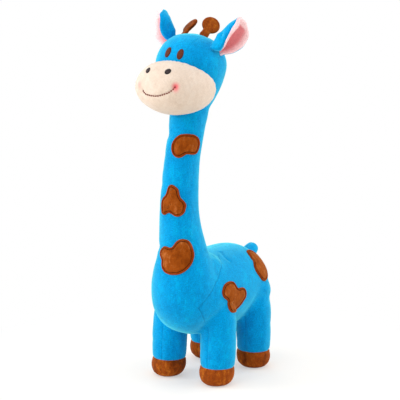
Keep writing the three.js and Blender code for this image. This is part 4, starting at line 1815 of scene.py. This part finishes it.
@dataclass
class Face:
    """The embroidered eyes and nostrils."""

    forms: ToyForms
    eye_places: ClassVar[dict[Side, tuple[float, float]]] = {Side.LEFT: (12.8, 23.2), Side.RIGHT: (-9.8, 25.2)}
    eye_leans: ClassVar[dict[Side, float]] = {Side.LEFT: -3, Side.RIGHT: -16}
    eye_half_width: float = 5.2
    eye_half_height: float = 8.0
    nostril_spread: float = 18.2
    nostril_rise: float = 28.2
    nostril_half_width: float = 4.6
    nostril_half_height: float = 3.9
    nostril_lean: float = -12
    thickness: float = 0.6
    steps: tuple[float, ...] = (0.25, 0.3, 0.4, 0.4)
    profile: tuple[tuple[float, float], ...] = ((0, -0.3), (0.3, 0.7), (0.8, 1.1), (2, 1.2), (5, 1.3))

    def embroider(self, name: str, outline: Points, start: Vector, cover: BVHTree) -> bpy.types.Object:
        """Sews an oval on a cover, seen from the front.

        Args:
            name: the piece's name.
            outline: its outline, in millimetres.
            start: its middle, inside the toy, in millimetres.
            cover: the cover's surface.

        Returns:
            The piece, without its material.
        """
        return Applique(name, outline, Facing(start * MM), self.steps, self.profile, self.thickness).build(cover)

    def build(self, head: BVHTree, muzzle: BVHTree, eye: bpy.types.Material, nostril: bpy.types.Material) -> None:
        """Embroiders both eyes and both nostrils.

        Args:
            head: the surface of the head.
            muzzle: the surface of the muzzle.
            eye: the thread of the eyes.
            nostril: the thread of the nostrils.
        """
        for side in Side:
            x, rise = self.eye_places[side]
            start = Vector((x, self.forms.head_y, self.forms.head_height + rise))
            outline = oval_outline(self.eye_half_width, self.eye_half_height, self.eye_leans[side])
            piece = self.embroider(f"satin_eye_{side.word}", outline, start, head)
            finished(piece, eye, Slot.BROWN_THREAD, f"eye_{side.word}")
            start = self.forms.muzzle_middle / MM + Vector((side.value * self.nostril_spread, 0, self.nostril_rise))
            outline = oval_outline(self.nostril_half_width, self.nostril_half_height, self.nostril_lean)
            piece = self.embroider(f"satin_nostril_{side.word}", outline, start, muzzle)
            finished(piece, nostril, Slot.DARK_THREAD, f"nostril_{side.word}")


@dataclass(frozen=True)
class EarShape:
    """The cut and the set of one ear, in millimetres and degrees.

    The half widths, the radii of the cup, how far the lining rolls over the rear rim and how much
    further that rim reaches are at even steps from the root to the tip.
    """

    length: float
    half_widths: tuple[float, ...]
    cup_radii: tuple[float, ...]
    rolled: tuple[float, ...]
    rear_extra: tuple[float, ...]
    arch: float
    twist: float
    skew: float
    fuller: float
    slant: float
    seat_turn: float
    seat_rise: float
    turn: float
    rise: float
    roll: float


EAR_SHAPES = {
    Side.LEFT: EarShape(
        length=58.8,
        half_widths=(25.3, 32.7, 34.4, 34.7, 31.8, 26, 8),
        cup_radii=(11.6, 19.6, 25.5, 25.4),
        rolled=(0, 2, 3.2, 4, 7, 8, 1.5),
        rear_extra=(5, 1, 0, 0, 0, 0, 0),
        arch=4.2,
        twist=13.7,
        skew=0.153,
        fuller=-0.063,
        slant=0,
        seat_turn=5.1,
        seat_rise=38.0,
        turn=33.2,
        rise=43.2,
        roll=-25.4,
    ),
    Side.RIGHT: EarShape(
        length=50,
        half_widths=(25.9, 33.1, 35.6, 36, 34.2, 29.5, 20),
        cup_radii=(13.5, 23.5, 31.6, 25.4),
        rolled=(0.5, 0.5, 0.5, 0.5, 0.5, 0.5, 0.5),
        rear_extra=(0, 1, 2, 2, 1.5, 0.5, -5),
        arch=9,
        twist=15.6,
        skew=0.19,
        fuller=-0.07,
        slant=0.09,
        seat_turn=13.3,
        seat_rise=44.7,
        turn=28.1,
        rise=67.4,
        roll=-59,
    ),
}


def even_steps(values: Sequence[float], shares: Points) -> Points:
    """Smooth values between ones at even steps.

    Args:
        values: the values, from share 0 to share 1.
        shares: where to look.

    Returns:
        A value for each share.
    """
    knots = np.array([2 * values[0] - values[1], *values, 2 * values[-1] - values[-2]])
    place = np.clip(shares, 0, 1) * (len(values) - 1)
    index = np.minimum(place.astype(int), len(values) - 2)
    part = place - index
    before, here, there, after = (knots[index + step] for step in range(4))
    square = 2 * before - 5 * here + 4 * there - after
    cubic = 3 * (here - there) + after - before
    return here + 0.5 * part * (there - before + part * (square + part * cubic))


@dataclass
class Ear:
    """An ear: a blue panel and a pink lining, sewn together round the rim and cupped."""

    side: Side
    panel: float = 2.4
    rim: float = 5.0
    sunk_root: float = 0.16
    steps: int = 48
    spans: int = 64
    roll_spans: int = 14
    twist_axis: float = 10.0

    @property
    def shape(self) -> EarShape:
        """The shape of this side's ear."""
        return EAR_SHAPES[self.side]

    def surface(self, along: Points, across: Points, offset: Points) -> Points:
        """Points of the cup in the ear's own frame.

        Args:
            along: shares of the way from the root to the tip.
            across: shares of the way from the middle to the rims, -1 to 1.
            offset: how far each point lies into the cup, in millimetres.

        Returns:
            The points, in millimetres.
        """
        shape = self.shape
        half = (1 + shape.fuller * across) * even_steps(shape.half_widths, along) * (1 + 2.5 * np.minimum(along, 0))
        cup = even_steps(shape.cup_radii, along) * (1 + shape.skew * across)
        angle = half * across / cup
        beside = self.side.value * (cup - offset) * np.sin(angle)
        out = cup - (cup - offset) * np.cos(angle)
        turned = math.radians(shape.twist) * along
        out -= self.twist_axis
        first = beside * np.cos(turned) + self.side.value * out * np.sin(turned)
        second = out * np.cos(turned) - self.side.value * beside * np.sin(turned) + self.twist_axis
        length = shape.length * along * (1 + shape.slant * across)
        return np.column_stack([first, length, second + shape.arch * np.maximum(along, 0) ** 2])

    def towards(self, turn: float, rise: float) -> Vector:
        """A direction from the middle of the head to this side.

        Args:
            turn: how far it turns back, in degrees.
            rise: how far it rises, in degrees.

        Returns:
            The direction.
        """
        turn, rise = math.radians(turn), math.radians(rise)
        level = math.cos(rise)
        return Vector((self.side.value * level * math.cos(turn), level * math.sin(turn), math.sin(rise)))

    @property
    def frame(self) -> Matrix:
        """Where the ear is sewn on.

        Returns:
            The frame: across its root, along it and out of its cup.
        """
        shape = self.shape
        along = self.towards(shape.turn, shape.rise)
        out = Vector((self.side.value * 0.85, -0.2, -0.5))
        out = (out - along * out.dot(along)).normalized()
        roll = math.radians(shape.roll)
        out = out * math.cos(roll) + along.cross(out) * (self.side.value * math.sin(roll))
        seat = self.towards(shape.seat_turn, shape.seat_rise) * (FORMS.head_radius + SEAT_LIFT)
        return sewn_on((FORMS.head_middle + seat) * MM, along, out)

    def sheet(self, name: str, lining: bool) -> bpy.types.Object:
        """Makes one panel as a closed thin piece that swells between its edges.

        Args:
            name: the piece's name.
            lining: whether it is the pink lining or the blue back.

        Returns:
            The piece.
        """
        share = np.linspace(0, 1, self.steps + 1)
        rows = -self.sunk_root + (1 + self.sunk_root) * (1 - (1 - share) ** 1.4)
        columns = np.sin(np.linspace(-1, 1, self.spans + 1) * np.pi / 2)
        if lining:
            columns = np.concatenate([np.linspace(-3, -1, self.roll_spans, endpoint=False), columns])
        along, column = (grid.ravel() for grid in np.meshgrid(rows, columns, indexing="ij"))
        half = even_steps(self.shape.half_widths, along)
        roll = even_steps(self.shape.rolled, along) / half
        sewn_at = -1 - even_steps(self.shape.rear_extra, along) / half
        behind = (column < -1) | (not lining)
        first = np.where(behind, sewn_at, sewn_at - roll)
        rolled = sewn_at - (3 + column) / 2 * roll
        across = np.where(column < -1, rolled, 1 - (1 - column) / 2 * (1 - first))
        front, rear = (1 - across) * half, (across - sewn_at + roll) * half
        tip = (1 - along) * self.shape.length
        edge = np.minimum(np.minimum(front, rear), tip)
        swell = np.sqrt(1 - (1 - np.clip(edge / self.rim, 0, 1)) ** 2)
        swell *= 1 - 0.75 * bell((across - sewn_at) * half, 1.3) * behind
        seam_plane = np.full(len(along), 1.2)
        # painted shade: hollow marks the deep inside of the cup, where the lining is coloured a deeper pink
        hollow = ramp(front, 5, 16) * ramp(tip, 7, 11) * ~behind
        # the blue back is tucked at its root, dented by its stuffing and pinched behind the rim
        tucks = 0.9 * np.sin(across * 11 + 0.6) * ramp(along, 0.42, 0.05)
        dimple = 3.2 * bell(np.hypot(across * half + 24, (along - 0.33) * self.shape.length), 4.5)
        ridge = 2.2 * bell(np.hypot(across * half + 16, (along - 0.25) * self.shape.length), 5)
        dents = 1.2 * lumps(np.column_stack([along * 60, across * 40, along * 0]), 15.0, 4.0)
        inside = seam_plane + swell * self.panel
        outside = seam_plane - swell * (self.panel + 0.3 + tucks + dents - dimple + ridge)
        outer = np.where(behind, outside, inside) if lining else outside
        sign = 1 if lining else -1
        upper = self.surface(along, across, outer)
        lower = self.surface(along, across, seam_plane + 0.04 * sign)
        size, row = len(along), len(columns)
        spans = row - 1
        faces = []
        for step in range(self.steps):
            for span in range(spans):
                corner = step * row + span
                ring = (corner, corner + 1, corner + row + 1, corner + row)
                faces += [ring, tuple(v + size for v in ring[::-1])]
        rim = [step * row for step in range(self.steps)] + [self.steps * row + span for span in range(spans)]
        rim += [step * row + spans for step in range(self.steps, 0, -1)] + list(range(spans, 0, -1))
        faces += [(here, there, there + size, here + size) for here, there in zip(rim, rim[1:] + rim[:1])]
        piece = new_piece(name, laid_in(self.frame, np.vstack([upper, lower])), faces)
        # the lining's hollow attribute is painted shade: deeper pink down in the cup and a little on the rolled
        # strip behind the rim
        set_attribute(piece.data, "hollow", np.tile(0.9 * hollow + 0.15 * behind, 2) * lining)
        weld(piece)
        return piece

    def build(self, blue: bpy.types.Material, pink: bpy.types.Material) -> None:
        """Makes both panels.

        Args:
            blue: what the back is made of.
            pink: what the lining is made of.
        """
        seat, along = self.frame.translation, self.frame.to_3x3() @ Vector((0, 1, 0))
        kinds = (("back", False, blue, Slot.BLUE_PLUSH), ("lining", True, pink, Slot.PINK_PLUSH))
        for word, lining, material, slot in kinds:
            piece = self.sheet(f"sewn_ear_{word}_{self.side.word}", lining)
            finished(piece, material, slot, f"ear_{word}_{self.side.word}")
            hinged(piece, f"{self.side.word}_ear", seat, along)


@dataclass
class Horn:
    """A flat padded lollipop of brown plush."""

    leans: ClassVar[dict[Side, Sequence[float]]] = {Side.LEFT: (0.12, 0.74, 0.66), Side.RIGHT: (0, 0.82, 0.57)}
    faces: ClassVar[dict[Side, Sequence[float]]] = {Side.LEFT: (0.65, -0.55, 0.52), Side.RIGHT: (0.4, -0.6, 0.58)}
    lengths: ClassVar[dict[Side, float]] = {Side.LEFT: 23.6, Side.RIGHT: 23}

    side: Side
    spread: float = 18.5
    setback: float = 10
    disc_radius: float = 14.4
    stalk_width: float = 12.8
    fillet: float = 2.5
    thickness: float = 5.6
    lower: float = 4
    sunk_root: float = 5
    rim: float = 3.2

    @property
    def frame(self) -> Matrix:
        """Where the horn is sewn on.

        Returns:
            The frame: across its stalk, along it and out of its face.
        """
        mirror = Matrix.Scale(self.side.value, 3, Vector((1, 0, 0)))
        along = (mirror @ Vector(self.leans[self.side])).normalized()
        rise = math.sqrt(FORMS.head_radius**2 - self.spread**2 - self.setback**2)
        seat = Vector((self.side.value * self.spread, self.setback, rise)).normalized()
        place = FORMS.head_middle + seat * (FORMS.head_radius + SEAT_LIFT) - along * self.lower
        return sewn_on(place * MM, along, mirror @ Vector(self.faces[self.side]))

    def outline(self, count: int = 96) -> Points:
        """The outline of disc and stalk, with round inner corners and a round foot.

        Args:
            count: how many points to make.

        Returns:
            The points, in millimetres.
        """
        half, radius, fillet = self.stalk_width / 2, self.disc_radius, self.fillet
        length = self.lengths[self.side]
        beside = half + fillet
        opening = math.asin(beside / (radius + fillet))
        height = length - math.sqrt((radius + fillet) ** 2 - beside**2)
        round_disc = np.linspace(opening, 2 * np.pi - opening, 60)
        disc = [(radius * math.sin(a), length - radius * math.cos(a)) for a in round_disc]
        inner = np.linspace(math.pi / 2 - opening, 0, 7)
        left = [(fillet * math.cos(b) - beside, height + fillet * math.sin(b)) for b in inner]
        root, flare = half - self.sunk_root, half + 0.8
        left += [(-flare * math.cos(b), root - half * math.sin(b)) for b in np.linspace(0, math.pi / 2, 9)]
        return evenly(np.array(disc + left + [(-x, y) for x, y in left[-2::-1]] + disc[:1]), count)

    def build(self, material: bpy.types.Material) -> None:
        """Models the horn: a flat sheet with a rounded rim, then both of its faces padded out.

        Args:
            material: what it is made of.
        """
        name, outline = f"padded_horn_{self.side.word}", self.outline()
        sheet = flat_sheet(name, outline, (0.25, 0.5, 0.8, 1.0, 1.2))
        bpy.ops.mesh.poke()
        bpy.ops.mesh.select_all(action="SELECT")
        bpy.ops.mesh.subdivide(number_cuts=1)
        bpy.ops.object.mode_set(mode="OBJECT")
        flat = coordinates(sheet.data)[:, :2] / MM
        faces = [tuple(polygon.vertices) for polygon in sheet.data.polygons]
        bpy.data.objects.remove(sheet)
        inset, _ = from_rim(flat, outline)
        bulge = np.sqrt(1 - (1 - np.clip(inset / self.rim, 0, 1)) ** 2)
        uneven = 0.3 * lumps(np.column_stack([flat, inset]), 9.0, 1.0 + self.side.value)
        high = bulge * (self.thickness / 2 + uneven)
        places = np.vstack([np.column_stack([flat, high]), np.column_stack([flat, -high])])
        faces += [tuple(v + len(flat) for v in face[::-1]) for face in faces]
        piece = new_piece(name, laid_in(self.frame, places), faces)
        set_attribute(piece.data, "seam", np.tile(0.55 * bell(inset, 0.5) + 0.25 * bell(inset - 3.0, 0.7), 2))
        weld(piece)
        finished(piece, material, Slot.BROWN_PLUSH, f"horn_{self.side.word}")
        hinged(piece, f"{self.side.word}_horn", self.frame.translation, self.frame.to_3x3() @ Vector((0, 1, 0)))


@dataclass
class Tail:
    """The tail: a stuffed nub that points up and back."""

    forms: ToyForms
    sunk_root: float = 12

    def build(self, material: bpy.types.Material) -> None:
        """Makes the tail with a seam down its back.

        Args:
            material: what it is made of.
        """
        radius, length = self.forms.tail_radius, self.forms.tail_length
        lift = math.radians(self.forms.tail_lift)
        along = Vector((0, math.cos(lift), math.sin(lift)))
        across = Vector((-1, 0, 0))
        seat = Vector((0, self.forms.tail_y, self.forms.tail_height)) * MM
        rows = [
            (0, 0, -self.sunk_root),
            (0.8 * radius, 0, 3 - self.sunk_root),
            (0.94 * radius, 0, 0),
            (radius, 0, length - radius),
            (0.74 * radius, 0, length - 0.33 * radius),
            (0, 0, length),
        ]
        axes = Matrix((across, -across.cross(along), along)).transposed().to_4x4()
        form = StuffedForm(rows, place=Matrix.Translation(seat) @ axes, rings=40, sides=40)
        piece = new_piece("sewn_tail", form.places(), form.faces())
        subdivide(piece, 1)
        mesh = piece.data
        places, out = coordinates(mesh), normals(mesh)
        near = np.abs(places[:, 0]) / MM
        press = 0.5 * bell(near, 1.1)
        uneven = 0.4 * lumps(places, 12 * MM, 6.0)
        set_coordinates(mesh, places + out * ((uneven - press) * MM)[:, None])
        set_attribute(mesh, "seam", 0.4 * bell(near, 1.0))
        finished(piece, material, Slot.BLUE_PLUSH, "tail")
        hinged(piece, "tail", seat, along)


LAMPS = (
    ("left", (-1.9, -1.3, 1.3), 1.5, 25.5),
    ("right", (1.9, 0.7, 1.2), 1.5, 10.4),
    ("top", (0.2, -0.3, 2.4), 1.8, 13.6),
    ("front", (1.1, -2.4, 0.9), 1.2, 0.6),
    ("high_front", (-0.2, -2.4, 1.6), 1.2, 11.0),
    ("low_left", (-1.7, -1.9, 0.35), 1.2, 7.5),
    ("back_left", (-1.5, 1.5, 0.9), 1.2, 9.5),
    ("back_right", (1.2, 1.9, 0.8), 1.2, 16.5),
    ("low_front", (0.9, -2.3, 0.12), 1.2, 2.2),
    ("front_left", (-1.0, -2.3, 0.9), 1.2, 4.2),
    ("low_right", (1.9, -1.0, 0.3), 1.2, 1.9),
    ("side_left", (-2.3, 0.2, 0.5), 1.2, 2.0),
)


@dataclass
class Studio:
    """The floor, the lamps and the camera."""

    target: Vector = field(default_factory=lambda: Vector((0, -22.6, 293)) * MM)
    azimuth: float = 33.0
    elevation: float = 10.5
    distance: float = 2.2
    lens: float = 123.03
    floor_size: float = 12.0
    lit_floor: Colour = (0.809, 0.774, 0.717, 1.0)
    seen_floor: Colour = (0.947, 0.905, 0.84, 1.0)
    world_light: float = 0.61

    def camera(self) -> None:
        """Places the camera as the photograph was taken."""
        a, e = math.radians(self.azimuth), math.radians(self.elevation)
        back = Vector((math.sin(a) * math.cos(e), -math.cos(a) * math.cos(e), math.sin(e)))
        data = bpy.data.cameras.new("camera")
        data.lens, data.sensor_width = self.lens, 36
        data.clip_start, data.clip_end = 0.05, 50
        camera = bpy.data.objects.new("camera", data)
        camera.location = self.target + back * self.distance
        camera.rotation_euler = (-back).to_track_quat("-Z", "Y").to_euler()
        bpy.context.scene.collection.objects.link(camera)
        bpy.context.scene.camera = camera

    def floor(self) -> None:
        """Lays a white floor that keeps the toy's shadow and fades into the background."""
        deselect()
        bpy.ops.mesh.primitive_plane_add(size=self.floor_size, location=(0, 0, -0.0002))
        floor = bpy.context.object
        floor.name = "floor"
        material = bpy.data.materials.new("white_floor")
        material.use_nodes = True
        graph = Graph(material.node_tree)
        graph.tree.nodes.clear()
        place = graph.add("TexCoord").outputs["Object"]
        far = graph.add("VectorMath", {0: place}, operation="LENGTH").outputs["Value"]
        away = graph.span(far, 0.16, 0.45, 0.42, 1.0)
        rays = graph.add("LightPath")
        by_camera = rays.outputs["Is Camera Ray"]
        share = graph.math("MULTIPLY", away, by_camera)
        seen = graph.mix(by_camera, self.lit_floor, self.seen_floor)
        matt = graph.add("BsdfDiffuse", {"Color": seen})
        white = graph.add("Emission", {"Color": (1, 1, 1, 1), "Strength": 1.0})
        mixed = graph.add("MixShader", {0: share, 1: matt.outputs[0], 2: white.outputs[0]})
        graph.add("OutputMaterial", {"Surface": mixed.outputs[0]})
        floor.data.materials.append(material)

    def lamp(self, name: str, place: Vector, size: float, power: float) -> None:
        """Hangs a soft lamp that looks at the toy.

        Args:
            name: its name.
            place: where it hangs.
            size: how wide it is.
            power: how strong it is, in watts.
        """
        data = bpy.data.lights.new(name, "AREA")
        data.shape, data.size, data.energy = "DISK", size, power
        lamp = bpy.data.objects.new(name, data)
        lamp.location = place
        lamp.rotation_euler = (self.target - place).to_track_quat("-Z", "Y").to_euler()
        bpy.context.scene.collection.objects.link(lamp)

    def world(self) -> None:
        """Gives the world a plain light, which the camera sees as white."""
        world = bpy.data.worlds.new("studio")
        world.use_nodes = True
        graph = Graph(world.node_tree)
        shade = world.node_tree.nodes["Background"]
        shade.inputs["Color"].default_value = (1, 1, 1, 1)
        rays = graph.add("LightPath")
        strength = graph.math("MAXIMUM", rays.outputs["Is Camera Ray"], self.world_light)
        graph.link(strength, shade.inputs["Strength"])
        bpy.context.scene.world = world

    def build(self) -> None:
        """Sets up the whole studio."""
        self.camera()
        self.floor()
        self.world()
        for name, place, size, power in LAMPS:
            self.lamp(name, Vector(place), size, power)
        bpy.context.scene.view_settings.view_transform = "Standard"


def main() -> None:
    """Builds the toy and its studio."""
    logging.basicConfig(level=logging.INFO)
    Studio().build()
    skin = BlueSkin(FORMS)
    skin.remesh()
    skin.inflate()
    skin.stuff()
    Sewing(body_seams()).sew(skin.skin)
    blue, brown = BLUE.material(), BROWN.material()
    skin.part(blue, brown)
    mouth = MouthLine(FORMS)
    muzzle = Muzzle(FORMS, skin.tree, mouth).build()
    snout = tree_of(muzzle.data)
    corner = mouth.corner(snout)
    cream = PlushFinish(
        "short_cream_pile",
        linear(222, 203, 186),
        linear(230, 215, 201),
        linear(198, 173, 151),
        seam_and_shade_colour=linear(196, 166, 142),
        brushed=0.5,
        deep=0.3,
        fuzz=0.06,
        sheen=0.25,
        blushes=(
            (corner, 0.009, 0.95),
            (corner - UP * 0.005, 0.008, 0.5),
            (Vector((-0.0292, -0.1441, 0.4877)), 0.009, 0.4),
        ),
        blush_colour=linear(236, 96, 108),
        bump=0.25,
    )
    finished(muzzle, cream.material(), Slot.CREAM_PLUSH, "muzzle_cover")
    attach(muzzle, ROOT_BODY)
    mouth.build(snout, MOUTH_THREAD.material())
    Face(FORMS).build(skin.tree, snout, EYE_THREAD.material(), NOSTRIL_THREAD.material())
    Patches(FORMS, skin.tree).build(VELVET.material())
    pink = PINK.material()
    for side in Side:
        Ear(side).build(blue, pink)
        Horn(side).build(brown)
    Tail(FORMS).build(blue)


if __name__ == "__main__":
    main()
